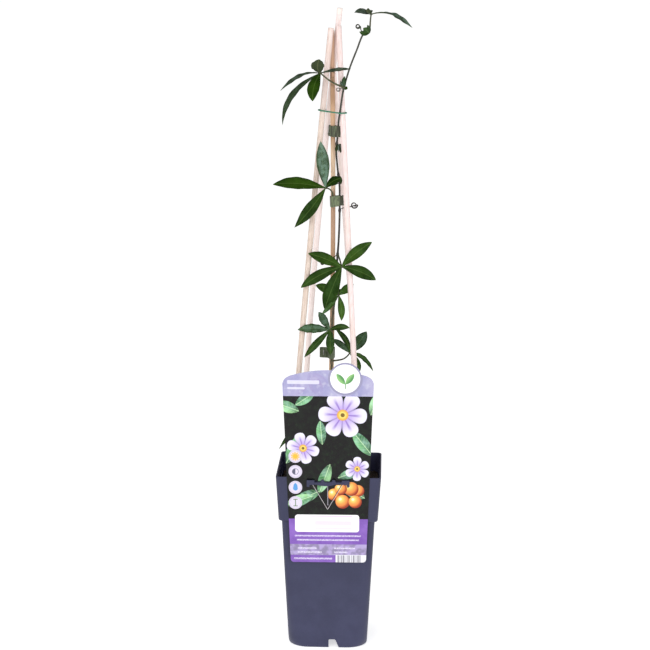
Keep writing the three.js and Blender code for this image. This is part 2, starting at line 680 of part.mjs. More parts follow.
/** The picture card: an arched plate with a round badge, and a slot for the pot's bar. */
function labelCard() {
  const { bottomHalf, shoulderHalf, cornerRadius, bottom, shoulder, crown, badge, thickness } = CARD;
  const outline = new THREE.Shape();
  outline.moveTo(-bottomHalf + cornerRadius, bottom);
  outline.lineTo(bottomHalf - cornerRadius, bottom);
  outline.quadraticCurveTo(bottomHalf, bottom, bottomHalf + 0.15, bottom + cornerRadius);
  outline.lineTo(shoulderHalf, shoulder - 2);
  outline.quadraticCurveTo(shoulderHalf - 0.5, shoulder + 4, shoulderHalf - 8, shoulder + 6.8);
  outline.quadraticCurveTo(0, 2 * crown - shoulder - 7, -shoulderHalf + 8, shoulder + 6.8);
  outline.quadraticCurveTo(-shoulderHalf + 0.5, shoulder + 4, -shoulderHalf, shoulder - 2);
  outline.lineTo(-bottomHalf - 0.15, bottom + cornerRadius);
  outline.quadraticCurveTo(-bottomHalf, bottom, -bottomHalf + cornerRadius, bottom);
  const slotMiddle = POT.height - CLIP.drop - CLIP.barDrop;
  const slotHalf = CLIP.headOffset + CLIP.postWidth / 2 + GAP;
  const slotTop = slotMiddle + CLIP.postHeight / 2 + GAP;
  const slotFoot = slotMiddle - CLIP.postHeight / 2 - GAP;
  const slitFoot = slotMiddle - CARD.slitLength;
  outline.holes.push(new THREE.Path([
    new THREE.Vector2(-slotHalf, slotFoot),
    new THREE.Vector2(-slotHalf, slotTop),
    new THREE.Vector2(slotHalf, slotTop),
    new THREE.Vector2(slotHalf, slotFoot),
    new THREE.Vector2(GAP, slotFoot),
    new THREE.Vector2(GAP, slitFoot),
    new THREE.Vector2(-GAP, slitFoot),
    new THREE.Vector2(-GAP, slotFoot),
  ]));
  const plate = { depth: thickness, bevelEnabled: false, curveSegments: 8 };
  const disc = new THREE.Shape().absarc(badge.x, badge.z, badge.radius, 0, 2 * Math.PI);
  const round = { ...plate, curveSegments: 18 };
  const place = (geometry) => {
    // stand the plate up, then lean it forward and roll it round the middle of its slot
    geometry.translate(0, -POT.height, 0).rotateZ(CARD.roll);
    geometry.rotateX(Math.PI / 2 + CARD.lean);
    return solid(geometry.translate(0, -POT.rimHalf - GAP, POT.height));
  };
  return join([
    place(new THREE.ExtrudeGeometry(outline, plate)),
    place(new THREE.ExtrudeGeometry(disc, round)),
  ]);
}

// ---- the plant ----------------------------------------------------------------------------------

const plant = new THREE.Group();
plant.add(node('pot', pot(), POT_BLUE));
plant.add(node('soil', soil(), SOIL_BROWN));
for (const name of Object.keys(CANES)) {
  plant.add(node(name, cane(name, 0), name === 'cane_centre' ? TAN_WOOD : PALE_WOOD));
}
plant.add(node('stem', stem(), STEM_BROWN));
for (const [name, shape] of Object.entries(LEAVES)) {
  plant.add(node(name, leaf(shape), LEAF_GREEN));
}
plant.add(node('tie_ring', tieRing(), TIE_GREEN));
for (const [place, shape] of Object.entries(TAPES)) {
  const { tape, staple } = tapeTie(shape);
  plant.add(node(`tape_${place}`, tape, TAPE_GREEN));
  plant.add(node(`staple_${place}`, staple, STAPLE_STEEL));
}
plant.add(node('label_card', labelCard(), CARD_LILAC));

// the origin goes to the bottom centre of the whole plant
const bounds = new THREE.Box3().setFromObject(plant);
const centre = bounds.getCenter(new THREE.Vector3());
plant.position.set(-centre.x, -centre.y, -bounds.min.z);

export default plant;
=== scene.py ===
# %% [markdown]
# # A climbing passion flower in its nursery pot
#
# The object is a young vine as a garden centre sells it: a tall square pot, four pale canes tied
# together over it, a tan cane with the vine taped to it, and a picture card on the pot's rim.
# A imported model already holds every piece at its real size. This script keeps those places and
# gives each piece its fine form and its finish.
#
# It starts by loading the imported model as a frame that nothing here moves.

# %% Load the frame
import math
import random

import bmesh
import bpy
from mathutils import Matrix, Vector, noise
from mathutils.geometry import delaunay_2d_cdt


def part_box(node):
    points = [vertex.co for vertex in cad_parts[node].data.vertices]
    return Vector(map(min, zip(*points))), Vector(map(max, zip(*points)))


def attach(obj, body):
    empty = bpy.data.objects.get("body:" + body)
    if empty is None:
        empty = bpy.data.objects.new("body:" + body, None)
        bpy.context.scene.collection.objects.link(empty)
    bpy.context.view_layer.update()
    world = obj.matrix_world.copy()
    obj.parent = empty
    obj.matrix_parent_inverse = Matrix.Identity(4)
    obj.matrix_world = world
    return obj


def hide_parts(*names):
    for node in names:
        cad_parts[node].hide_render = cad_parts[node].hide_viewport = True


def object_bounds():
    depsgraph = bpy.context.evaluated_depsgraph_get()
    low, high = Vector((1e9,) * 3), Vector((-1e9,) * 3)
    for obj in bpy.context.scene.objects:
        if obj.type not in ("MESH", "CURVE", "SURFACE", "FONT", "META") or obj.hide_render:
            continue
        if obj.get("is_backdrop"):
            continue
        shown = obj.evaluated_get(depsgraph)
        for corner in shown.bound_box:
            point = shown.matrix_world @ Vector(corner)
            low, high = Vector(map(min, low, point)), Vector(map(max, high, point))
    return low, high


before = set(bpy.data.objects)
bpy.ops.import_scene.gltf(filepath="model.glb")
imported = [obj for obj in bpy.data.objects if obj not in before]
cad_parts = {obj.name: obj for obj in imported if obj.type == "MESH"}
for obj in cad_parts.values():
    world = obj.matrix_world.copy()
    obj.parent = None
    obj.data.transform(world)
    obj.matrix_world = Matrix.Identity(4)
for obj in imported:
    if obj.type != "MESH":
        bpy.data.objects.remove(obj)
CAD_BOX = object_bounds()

print("pieces in the frame:", len(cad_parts))

# %% [markdown]
# ## Where things are
#
# The maker of this plant would measure everything from the middle of the pot, at ground level, in
# millimetres. Blender works in metres, and the frame's origin is the middle of the whole plant's
# box, which the leaves pull to one side. So one function turns the maker's point into a place in
# the frame. The pot's axis is found from the pot's own box: its left and right walls are alike,
# and its back wall is a known half width away.

# %% Places in millimetres from the pot's axis
MM = 0.001
FULL_TURN = 6.28  # in radians, for random turns and waves
POT = {"height": 190, "rim": 55, "collar_foot": 51.9, "body_top": 48.8, "body_foot": 41.6,
       "collar": 48.6, "wall": 1.5, "floor": 10, "floor_thickness": 1.8, "soil_drop": 20}

pot_low, pot_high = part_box("pot")
AXIS = Vector(((pot_low.x + pot_high.x) / 2, pot_high.y - POT["rim"] * MM, 0.0))


def place(x, y, z):
    """A point in millimetres from the pot's axis at ground level, in the frame's metres."""
    return AXIS + Vector((x, y, z)) * MM


print("pot axis:", [round(v, 4) for v in AXIS])

# %% [markdown]
# ## The camera
#
# A product photograph of a tall thing is taken from some way off with a long lens, so that the
# upright lines stay nearly upright. Here the camera stands almost two metres away, a little above
# the pot, and looks down by ten degrees. It is built from its three directions, because turns
# given as angles are easy to put in the wrong order.

# %% Camera
CAMERA_AT = (56.7, -1908.0, 686.4)
TURN, DOWN, ROLL = -0.033, 0.179, 0.007
PICTURE_SIDE = 650
FOCAL_PIXELS = 1843
SENSOR = 36.0

ahead = Vector((math.sin(TURN) * math.cos(DOWN), math.cos(TURN) * math.cos(DOWN), -math.sin(DOWN)))
level_right = Vector((math.cos(TURN), -math.sin(TURN), 0))
level_up = level_right.cross(ahead)
right = level_right * math.cos(ROLL) + level_up * math.sin(ROLL)
up = level_up * math.cos(ROLL) - level_right * math.sin(ROLL)

lens = bpy.data.cameras.new("camera")
lens.sensor_width = SENSOR
lens.lens = SENSOR * FOCAL_PIXELS / PICTURE_SIDE
lens.clip_end = 2000  # metres, well past the floor's edge
camera = bpy.data.objects.new("camera", lens)
turn = Matrix((right, up, -ahead)).transposed().to_4x4()
camera.matrix_world = Matrix.Translation(place(*CAMERA_AT)) @ turn
bpy.context.scene.collection.objects.link(camera)
bpy.context.scene.camera = camera
print("lens:", round(lens.lens, 1), "mm")

# %% [markdown]
# ## Node trees written as sums
#
# Both materials and Geometry Nodes are trees of small nodes. Wiring them by hand makes long code
# that hides what it works out. A small class wraps a node's output, so that `1 - mask * 0.5` adds
# the Math nodes by itself, and vectors go through Vector Math in the same way. Every other node
# comes from one method that takes its type, its settings and its sockets. Colours are given as
# the photograph's screen values, and `mix` turns them into the linear light of the renderer.

# %% A wire with arithmetic
def works_out(operation, swapped=False):
    """The method behind one of Python's operators: it adds the node for the operation."""
    def method(wire, *other):
        return wire.net.calc(operation, *((*other, wire) if swapped else (wire, *other)))
    return method


class Wire:
    """The output of a node. An expression on wires adds the nodes that work it out."""
    __add__, __radd__ = works_out("ADD"), works_out("ADD", swapped=True)
    __sub__, __rsub__ = works_out("SUBTRACT"), works_out("SUBTRACT", swapped=True)
    __mul__, __rmul__ = works_out("MULTIPLY"), works_out("MULTIPLY", swapped=True)
    __truediv__, __rtruediv__ = works_out("DIVIDE"), works_out("DIVIDE", swapped=True)
    __pow__, __abs__ = works_out("POWER"), works_out("ABSOLUTE")

    def __init__(self, net, node, output):
        self.net, self.node, self.socket = net, node, node.outputs[output]

    def out(self, output):
        """Another output of the same node."""
        return Wire(self.net, self.node, output)

    def fn(self, operation, *others):
        """Any other function of the Math and Vector Math nodes, such as "SINE"."""
        return self.net.calc(operation, self, *others)

    def at_least(self, other):
        """The larger of this and another value."""
        return self.fn("MAXIMUM", other)

    def ramp(self, low, high):
        """0 below low, 1 above high, and a smooth rise between them."""
        return self.net.add("ShaderNodeMapRange", {"interpolation_type": "SMOOTHSTEP"},
                            {0: self, 1: low, 2: high})

    def between(self, low, rise, fall, high):
        """1 from rise to fall, and 0 below low and above high."""
        return self.ramp(low, rise) * (1 - self.ramp(fall, high))


# %% The net that a wire belongs to
def shade(red, green, blue):
    """A screen colour, 0 to 255, as linear light."""
    def linear(value):
        value /= 255
        return value / 12.92 if value <= 0.04045 else ((value + 0.055) / 1.055) ** 2.4
    return (linear(red), linear(green), linear(blue), 1.0)


class Net:
    """A node tree that is being built."""

    def __init__(self, tree):
        self.tree = tree

    def add(self, kind, settings=None, sockets=None, output=0):
        """A node's wire, from its type, its settings, and a value or a wire for each socket."""
        node = self.tree.nodes.new(kind)
        for name, value in (settings or {}).items():
            setattr(node, name, value)
        for name, value in (sockets or {}).items():
            if isinstance(value, Wire):
                self.tree.links.new(value.socket, node.inputs[name])
            else:
                node.inputs[name].default_value = value
        return Wire(self, node, output)

    def calc(self, operation, *values):
        vectors = [isinstance(value, Wire) and value.socket.type == "VECTOR" for value in values]
        if not any(vectors):
            return self.add("ShaderNodeMath", {"operation": operation}, dict(enumerate(values)))
        if operation == "MULTIPLY" and not all(vectors):
            vector, number = values if vectors[0] else values[::-1]
            return self.add("ShaderNodeVectorMath", {"operation": "SCALE"}, {0: vector, 3: number})
        return self.add("ShaderNodeVectorMath", {"operation": operation}, dict(enumerate(values)),
                        "Value" if operation == "LENGTH" else "Vector")

    def mix(self, mask, low, high):
        """The colour low where the mask is 0 and high where it is 1, as wires or screen colours."""
        low, high = (colour if isinstance(colour, Wire) else shade(*colour)
                     for colour in (low, high))
        return self.add("ShaderNodeMix", {"data_type": "RGBA"}, {0: mask, 6: low, 7: high}, 2)

    def coats(self, colour, *layers):
        """A colour with others laid over it in turn, each as far as its mask says."""
        for mask, over in layers:
            colour = self.mix(mask, colour, over)
        return colour

    def parts(self, vector):
        """The X, Y and Z of a vector, as three wires."""
        split = self.add("ShaderNodeSeparateXYZ", {}, {0: vector})
        return split, split.out(1), split.out(2)

    def vector(self, x, y, z):
        return self.add("ShaderNodeCombineXYZ", {}, {0: x, 1: y, 2: z})

    def noise(self, where, scale, detail=2.0):
        """Soft random patches round 0.5."""
        return self.add("ShaderNodeTexNoise", {}, {"Vector": where, "Scale": scale,
                                                   "Detail": detail})

    def object_place(self):
        """For a material: the place of a point on the plant, in metres in the frame."""
        return self.add("ShaderNodeTexCoord", {}, {}, "Object")

    def stored(self, name, kind="Fac"):
        """For a material: a value that the mesh keeps for each of its points."""
        return self.add("ShaderNodeAttribute", {"attribute_name": name}, {}, kind)

    def bump(self, height, depth):
        """For a material: a normal from a height pattern that stands up by depth, in metres."""
        return self.add("ShaderNodeBump", {}, {"Strength": 1.0, "Distance": depth,
                                               "Height": height})

    def keep(self, shape, name, value, kind="FLOAT", domain="POINT"):
        """For a shape: its points keep a value, for later nodes and for the material."""
        return self.add("GeometryNodeStoreNamedAttribute", {"data_type": kind, "domain": domain},
                        {"Geometry": shape, "Name": name, "Value": value})

    def read(self, name, kind="FLOAT"):
        """For a shape: what its points keep."""
        return self.add("GeometryNodeInputNamedAttribute", {"data_type": kind}, {"Name": name})


# %% [markdown]
# ## Finishes
#
# Each finish is a Principled shader whose colour, roughness and bump come from patterns, because
# no real surface is one flat colour. `paint` builds the patterns in the material's net and returns
# the wires for the shader's varying inputs, always in the same order.

# %% Materials
VARYING = ("Base Color", "Roughness", "Normal", "Coat Weight")


def finish(name, paint, **fixed):
    """A material. paint(net) returns the wires for VARYING; fixed holds its plain numbers."""
    material = bpy.data.materials.new(name)
    material.use_nodes = True
    net = Net(material.node_tree)
    shader = material.node_tree.nodes["Principled BSDF"]
    for socket, value in fixed.items():
        shader.inputs[socket.replace("_", " ")].default_value = value
    for socket, wire in zip(VARYING, paint(net)):
        net.tree.links.new(wire.socket, shader.inputs[socket])
    print("finish", name, "has", len(net.tree.nodes), "nodes")
    return material


# %% [markdown]
# ## Making and settling pieces
#
# Every piece ends as a plain mesh whose object sits at the frame's origin. A Geometry Nodes tree
# is run on a starting mesh, its result is copied out, and the carrier is thrown away, so nothing
# is left for a later step to evaluate. Pieces that are one thing on the real plant are joined.

# %% Meshes and pieces
def link(piece):
    bpy.context.scene.collection.objects.link(piece)
    return piece


def mesh_of(name, points, edges=(), faces=()):
    mesh = bpy.data.meshes.new(name)
    mesh.from_pydata(points, edges, faces)
    return mesh


def put(mesh, title, values, vector=False):
    """Keeps a number for each point of a mesh, or a vector given as three numbers."""
    kind, field = ("FLOAT_VECTOR", "vector") if vector else ("FLOAT", "value")
    mesh.attributes.new(title, kind, "POINT").data.foreach_set(field, values)


def set_down(name, shape):
    """The piece that a bmesh has drawn."""
    mesh = bpy.data.meshes.new(name)
    shape.to_mesh(mesh)
    shape.free()
    return link(bpy.data.objects.new(name, mesh))


def outward(piece):
    """Turns the faces of closed shells outwards, each shell by itself."""
    shell = bmesh.new()
    shell.from_mesh(piece.data)
    bmesh.ops.recalc_face_normals(shell, faces=shell.faces)
    shell.to_mesh(piece.data)
    shell.free()
    return piece


def smooth_but(piece, angle):
    """Smooth shading, but at edges sharper than an angle."""
    piece.data.polygons.foreach_set("use_smooth", [True] * len(piece.data.polygons))
    piece.data.set_sharp_from_angle(angle=angle)


def modified(piece, kind, **settings):
    """Puts a modifier on a piece and applies it at once."""
    modifier = piece.modifiers.new("change", kind)
    for name, value in settings.items():
        setattr(modifier, name, value)
    graph = bpy.context.evaluated_depsgraph_get()
    mesh = bpy.data.meshes.new_from_object(piece.evaluated_get(graph))
    piece.modifiers.clear()
    piece.data = mesh
    return piece


def joined(name, pieces):
    """Several mesh objects as one."""
    whole = pieces[0]
    with bpy.context.temp_override(active_object=whole, selected_editable_objects=pieces):
        bpy.ops.object.join()
    whole.name = whole.data.name = name
    return whole


def settle(piece, slot, *nodes):
    """The finished piece moves with the plant and stands for the plain solids named."""
    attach(piece, "root")
    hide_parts(*nodes)
    piece.data.calc_loop_triangles()
    size = [round(side / MM, 1) for side in piece.dimensions]
    print(piece.name, size, "mm,", len(piece.data.loop_triangles), "triangles")


# %% Geometry Nodes trees
def new_tree(name, *sockets):
    """An empty tree, and a wire for each of its inputs: title, kind, value."""
    tree = bpy.data.node_groups.new(name, "GeometryNodeTree")
    for title, kind, value in sockets:
        socket = tree.interface.new_socket(title, in_out="INPUT", socket_type="NodeSocket" + kind)
        if value is not None:
            socket.default_value = value
    tree.interface.new_socket("Geometry", in_out="OUTPUT", socket_type="NodeSocketGeometry")
    net = Net(tree)
    inlet = net.add("NodeGroupInput", output=sockets[0][0])
    return net, [inlet.out(title) for title, _, _ in sockets]


def end_tree(net, shape, material, sharp_above):
    """Real instances, smooth but at edges sharper than an angle, and the material."""
    shape = net.add("GeometryNodeRealizeInstances", {}, {0: shape})
    shape = net.add("GeometryNodeSetShadeSmooth", {}, {"Geometry": shape})
    angle = net.add("GeometryNodeInputMeshEdgeAngle")
    shape = net.keep(shape, "sharp_edge", angle.fn("GREATER_THAN", sharp_above), "BOOLEAN", "EDGE")
    shape = net.add("GeometryNodeSetMaterial", {}, {"Geometry": shape, "Material": material})
    outlet = net.tree.nodes.new("NodeGroupOutput")
    net.tree.links.new(shape.socket, outlet.inputs["Geometry"])
    return net.tree


def run_tree(tree, name, start, inputs):
    """The plain mesh object that a node tree makes of a starting mesh."""
    carrier = link(bpy.data.objects.new(name + "_start", start))
    modifier = carrier.modifiers.new("shape", "NODES")
    modifier.node_group = tree
    for item in tree.interface.items_tree:
        if item.item_type == "SOCKET" and item.name in inputs:
            modifier[item.identifier] = inputs[item.name]
    graph = bpy.context.evaluated_depsgraph_get()
    mesh = bpy.data.meshes.new_from_object(carrier.evaluated_get(graph),
                                           preserve_all_data_layers=True, depsgraph=graph)
    bpy.data.objects.remove(carrier)
    return link(bpy.data.objects.new(name, mesh))


# %% [markdown]
# ## Floor and light
#
# The photograph has no background to speak of: a white sweep under soft light. A floor so large
# that its edge lies at the horizon gives that, and it glows a little so that it stays white far
# from the lamps. The sky is dimmer than the floor, and two wide soft lamps in front do the rest,
# so that round canes and folded leaves are lighter in front than at their sides.

# %% Floor, sky and lamps
FLOOR_RADIUS = 400.0
FLOOR_SIDES = 96
SKY_STRENGTH = 0.46
FLOOR_GLOW = 0.6
LAMP_SIZE = 1.6
WHITE = (1, 1, 1, 1)


def circle(x, y, radius, count=32):
    return [(x + radius * math.cos(math.tau * i / count),
             y + radius * math.sin(math.tau * i / count)) for i in range(count)]


def floor_paint(net):
    cloudy = net.noise(net.object_place(), 3.0)
    return (net.mix(cloudy, (248, 248, 248), (252, 252, 252)),)


floor_mesh = mesh_of("floor", [(x, y, 0) for x, y in circle(0, 0, FLOOR_RADIUS, FLOOR_SIDES)],
                     faces=[list(range(FLOOR_SIDES))])
floor_mesh.materials.append(finish("pale_floor", floor_paint, Roughness=0.9,
                                   Emission_Color=WHITE, Emission_Strength=FLOOR_GLOW))
link(bpy.data.objects.new("floor", floor_mesh))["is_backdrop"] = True

world = bpy.data.worlds.new("sky")
world.use_nodes = True
sky = world.node_tree.nodes["Background"].inputs
sky["Color"].default_value, sky["Strength"].default_value = WHITE, SKY_STRENGTH
bpy.context.scene.world = world
bpy.context.scene.view_settings.view_transform = "Standard"

for name, stand, aim_at, power in (("key", (-900, -2300, 1500), (0, 0, 330), 28),
                                   ("fill", (1300, -2100, 1100), (0, 0, 300), 17)):
    light = bpy.data.lights.new(name, "AREA")
    light.size, light.energy = LAMP_SIZE, power
    lamp = link(bpy.data.objects.new(name, light))
    aim = (place(*aim_at) - place(*stand)).to_track_quat("-Z", "Y")
    lamp.matrix_world = Matrix.Translation(place(*stand)) @ aim.to_matrix().to_4x4()

# %% [markdown]
# ## The pot's plastic
#
# A nursery pot is moulded from recycled plastic in one shot. Its slate blue is never quite even:
# there are cloudy flow marks and a fine satin grain, and the lower walls are painted lighter in
# patches, partly as dust from handling and partly as a painted reflection of the pale floor. A bump
# of two noises gives the grain and a slight waviness of the thin walls.

# %% Pot plastic
def pot_paint(net):
    at = net.object_place()
    clouds, grain = net.noise(at, 22, 4), net.noise(at, 1400)
    dusty = 0.35 + 0.65 * net.noise(at, 60, 5).ramp(0.3, 0.75)
    # dust and painted reflection: the lower walls are painted lighter in patches, towards the foot
    dust_and_painted_reflection = (1 - net.parts(at)[2].ramp(0.0, 0.15)) * dusty
    colour = net.coats(net.mix(clouds.ramp(0.3, 0.75), (43, 45, 72), (47, 49, 77)),
                       (dust_and_painted_reflection * 0.3, (78, 80, 112)),
                       (grain.ramp(0.4, 0.8) * 0.06, (100, 102, 124)))
    relief = grain * 0.12 + net.noise(at, 45, 3)
    return colour, 0.36 + 0.16 * clouds + 0.1 * dust_and_painted_reflection, net.bump(relief, 0.0004)


POT_PLASTIC = finish("pot_satin_plastic", pot_paint, Specular_IOR_Level=0.35)

# %% [markdown]
# ## The pot
#
# The pot is one thin wall that goes up the outside, over the lip and down the inside. A closed
# skin through square rings with round corners makes that in one piece: the corners are tight at
# the rim and wide at the foot, as in a mould that must let go of the pot. The hollow between the
# four feet, the notches and the drain holes are then cut out with booleans.

# %% Square rings and skins
CORNER_STEPS = 14
SIDE_STEPS = 6


def corner_point(half, corner, z, quarter, angle):
    """A point of the arc in one quarter of a square with round corners."""
    sx, sy = ((1, 1), (-1, 1), (-1, -1), (1, -1))[quarter % 4]
    return Vector((sx * (half - corner) + corner * math.cos(angle),
                   sy * (half - corner) + corner * math.sin(angle), z))


def square_ring(half, corner, z):
    """A square with round corners, counter-clockwise from above, with points along its sides."""
    ring = []
    for quarter in range(4):
        start = quarter * math.pi / 2
        ring += [corner_point(half, corner, z, quarter, start + step / CORNER_STEPS * math.pi / 2)
                 for step in range(CORNER_STEPS + 1)]
        near = ring[-1].copy()
        far = corner_point(half, corner, z, quarter + 1, start + math.pi / 2)
        ring += [near.lerp(far, step / SIDE_STEPS) for step in range(1, SIDE_STEPS)]
    return ring


def skin(name, rings):
    """A closed skin through rings of equal counts, with a fan over the first and the last."""
    count = len(rings[0])
    last = (len(rings) - 1) * count
    points = [place(*p) for ring in rings for p in ring]
    faces = [(row + i, row + (i + 1) % count, row + count + (i + 1) % count, row + count + i)
             for row in range(0, last, count) for i in range(count)]
    for first, ring in ((0, rings[0]), (last, rings[-1])):
        points.append(place(*(sum(ring, Vector()) / count)))
        faces += [(len(points) - 1, first + i, first + (i + 1) % count) for i in range(count)]
    return outward(link(bpy.data.objects.new(name, mesh_of(name, points, faces=faces))))


# %% Pot wall
RIM_TOP, WALL = POT["height"], POT["wall"]
LEDGE = RIM_TOP - POT["collar"]
INNER_LEDGE = LEDGE + WALL
FLOOR_TOP = POT["floor"] + POT["floor_thickness"]


def body_half(z):
    return POT["body_foot"] + (POT["body_top"] - POT["body_foot"]) * z / LEDGE


def collar_half(z):
    slope = (POT["rim"] - POT["collar_foot"]) / POT["collar"]
    return POT["collar_foot"] + (z - LEDGE) * slope


def corner_at(z):
    """The radius of the pot's corners at a height. They open out quickly at the ground."""
    return 5 + 9 * max(0.0, 1 - z / 120) ** 2 + 8 * max(0.0, 1 - z / 11) ** 2


def wall_ring(z, half, inset):
    return square_ring(half - inset, max(corner_at(z) - inset, 1), z)


def wall_rings(half_at, inset, *heights):
    return [wall_ring(z, half_at(z), inset) for z in heights]


outside = [wall_ring(z, body_half(level), inset)
           for z, level, inset in ((0, 0, 1.4), (0.3, 0, 0.7), (0.9, 1, 0.2), (1.8, 2, 0))]
outside += wall_rings(body_half, 0, 3, 4.5, 6, 8, 10.5, 15, 22, 30, 40, 50, 60, 75, 90, 110, 130)
outside += [wall_ring(LEDGE + rise, half_at(LEDGE), inset) for rise, half_at, inset in
            ((-0.4, body_half, 0.05), (0, body_half, -0.3), (0.1, collar_half, 1.3),
             (0.4, collar_half, 0.6), (1.0, collar_half, 0.15))]
outside += wall_rings(collar_half, 0, 143.4, 155, 167, 178, 187, 189.2)
lip = [wall_ring(RIM_TOP - drop, collar_half(RIM_TOP), inset)
       for drop, inset in ((0.25, 0.15), (0, 0.5), (0, 1.1), (0.25, WALL - 0.1))]
inside = wall_rings(collar_half, WALL, 189.2, 187, 178, 167, 155)
inside += [wall_ring(INNER_LEDGE + rise, half_at(LEDGE), WALL + inset) for rise, half_at, inset in
           ((0.5, collar_half, 0), (0, collar_half, 0.5), (-0.1, body_half, -0.3),
            (-0.7, body_half, 0))]
inside += wall_rings(body_half, WALL, 130, 110, 90, 70, 50, 30, FLOOR_TOP + 1)
inside += wall_rings(body_half, WALL + 1, FLOOR_TOP)
pot = skin("pot_wall", outside + lip + inside)

# %% Feet, notches and drain holes
FOOT_LENGTH, NOTCH_HEIGHT = 13, 9.4
NOTCH_LEFT, NOTCH_RIGHT, NOTCH_FOOT = 1.2, 8.2, 12.6
DRAIN_RADIUS, DRAIN_OFFSET = 4, 18
HOLLOW_REACH, NOTCH_REACH = 90, 70  # both end well past the pot's walls


def block(name, low, high):
    """A box between two corners in millimetres."""
    shape = bmesh.new()
    for z in (low[2], high[2]):
        for x, y in ((low[0], low[1]), (high[0], low[1]), (high[0], high[1]), (low[0], high[1])):
            shape.verts.new(place(x, y, z))
    bmesh.ops.convex_hull(shape, input=shape.verts)
    return set_down(name, shape)


def prism(name, outline, near, far, turned=False):
    """An outline in X and Z, drawn out along Y, or along X where it is turned."""
    shape = bmesh.new()
    ends = [[shape.verts.new(place(depth, x, z) if turned else place(x, depth, z))
             for x, z in outline] for depth in (near, far)]
    shape.faces.new(ends[0])
    shape.faces.new(ends[1][::-1])
    for i in range(len(outline)):
        j = (i + 1) % len(outline)
        shape.faces.new((ends[0][j], ends[0][i], ends[1][i], ends[1][j]))
    bmesh.ops.recalc_face_normals(shape, faces=shape.faces)
    return set_down(name, shape)


def carve(whole, tool, operation="DIFFERENCE"):
    """A boolean that is done at once. The tool is thrown away."""
    modified(whole, "BOOLEAN", operation=operation, object=tool, solver="EXACT")
    bpy.data.objects.remove(tool)


between_feet = body_half(0) - FOOT_LENGTH
for name, x, y in (("hollow_x", HOLLOW_REACH, between_feet),
                   ("hollow_y", between_feet, HOLLOW_REACH)):
    under = [square_ring(body_half(0) - WALL, corner_at(0) - WALL, -3)]
    hollow = skin(name, under + wall_rings(body_half, WALL, 0, 2, 4, 7, POT["floor"]))
    carve(hollow, block(name + "_reach", (-x, -y, -5), (x, y, 20)), "INTERSECT")
    carve(pot, hollow)
notch = [(NOTCH_LEFT, -1), (NOTCH_FOOT, -1), (NOTCH_RIGHT + 0.6, NOTCH_HEIGHT - 1.2),
         (NOTCH_RIGHT - 0.6, NOTCH_HEIGHT), (NOTCH_LEFT + 0.8, NOTCH_HEIGHT),
         (NOTCH_LEFT, NOTCH_HEIGHT - 0.8)]
for turned in (False, True):
    carve(pot, prism("notch", notch, -NOTCH_REACH, NOTCH_REACH, turned))
for sx, sy in ((0, 0), (1, 1), (1, -1), (-1, 1), (-1, -1)):
    edge = circle(sx * DRAIN_OFFSET, sy * DRAIN_OFFSET, DRAIN_RADIUS)
    carve(pot, skin("drain", [[Vector((x, y, z)) for x, y in edge] for z in (5, 15)]))
print("pot body faces:", len(pot.data.polygons))

# %% [markdown]
# ## The bar that holds the card
#
# On the front of the rim the mould leaves a small bar: two square heads on short posts, a strip
# between them and two round knobs on it. The card's slot slips over it. Each part is a flat
# outline drawn out to the bar's thickness and then rounded with a Bevel modifier, because moulded
# edges are never knife sharp.

# %% Bar, brackets and panel on the pot
BAR_FRONT, BAR_BACK, BAR_LEVEL = -59.0, -56.8, 185
LEFT_HEAD = [(-22.3, -4.2), (-19.6, -4.6), (-19.2, -2.1), (-14.1, -2.1), (-14.1, 3), (-22.3, 3)]
RIGHT_HEAD = [(14.1, -1.6), (19.0, -1.6), (19.8, -4.2), (20.6, -4.8), (22.3, -3.6), (22.3, 3),
              (14.1, 3)]
STRIP = [(-15, -1.2), (-9, -2.9), (-3, -3.2), (2.5, -2.9), (8, -1.4), (15, -0.9), (15, 0.6),
         (8, 1.0), (3, 1.3), (0, 0.6), (-3, 1.2), (-8, 0.9), (-15, 0.6)]
KNOB_OFFSET, KNOB_RISE, KNOB_RADIUS = 5.8, 1.6, 2
POST_OFFSET, POST_HALF, POST_BACK = 18.2, 1.5, -53.6
BRACKET_LEVEL, BRACKET_DEPTH = 180, 1.1
BRACKET_BARS = (((-8, 177), (-6.8, 187)), ((6.8, 177), (8, 187)), ((-8, 176), (8, 177.2)))
PANEL_LEVEL, PANEL_FOOT, PANEL_HEIGHT = 4.5, 2.2, 5


def rounded(piece, width):
    """Rounds the edges of a piece with a Bevel modifier."""
    return modified(piece, "BEVEL", width=width * MM, segments=3, limit_method="ANGLE")


def bar_form(outline, edge, front=0.0, back=0.0):
    """A form of the bar with round edges, set back by some distance in front and behind."""
    raised = [(x, z + BAR_LEVEL) for x, z in outline]
    return rounded(prism("bar", raised, BAR_FRONT + front, BAR_BACK - back), edge)


details = [bar_form(LEFT_HEAD, 0.45), bar_form(RIGHT_HEAD, 0.45), bar_form(STRIP, 0.35, 0.2, 0.2)]
for side in (-1, 1):
    knob = circle(side * KNOB_OFFSET, KNOB_RISE, KNOB_RADIUS)
    details.append(bar_form(knob, 0.4, back=0.1))
    post_x = side * POST_OFFSET
    details.append(block("post", (post_x - POST_HALF, BAR_FRONT + 0.8, BAR_LEVEL - 2.2),
                         (post_x + POST_HALF, POST_BACK, BAR_LEVEL + 1.0)))
    # a small raised bracket on the inside of each side wall
    wall_x = side * (collar_half(BRACKET_LEVEL) - WALL)
    left, right_end = sorted((wall_x, wall_x - side * BRACKET_DEPTH))
    for low, high in BRACKET_BARS:
        details.append(rounded(block("bracket", (left, *low), (right_end, *high)), 0.25))
wall_y = -body_half(PANEL_LEVEL)
details.append(rounded(block("panel", (-10.5, wall_y - 0.25, PANEL_FOOT),
                             (-0.6, wall_y + 0.8, PANEL_FOOT + PANEL_HEIGHT)), 0.2))
pot_piece = joined("moulded_pot", [pot] + details)
pot_piece.data.materials.clear()
pot_piece.data.materials.append(POT_PLASTIC)
smooth_but(pot_piece, 0.6)
settle(pot_piece, "pot_plastic", "pot")

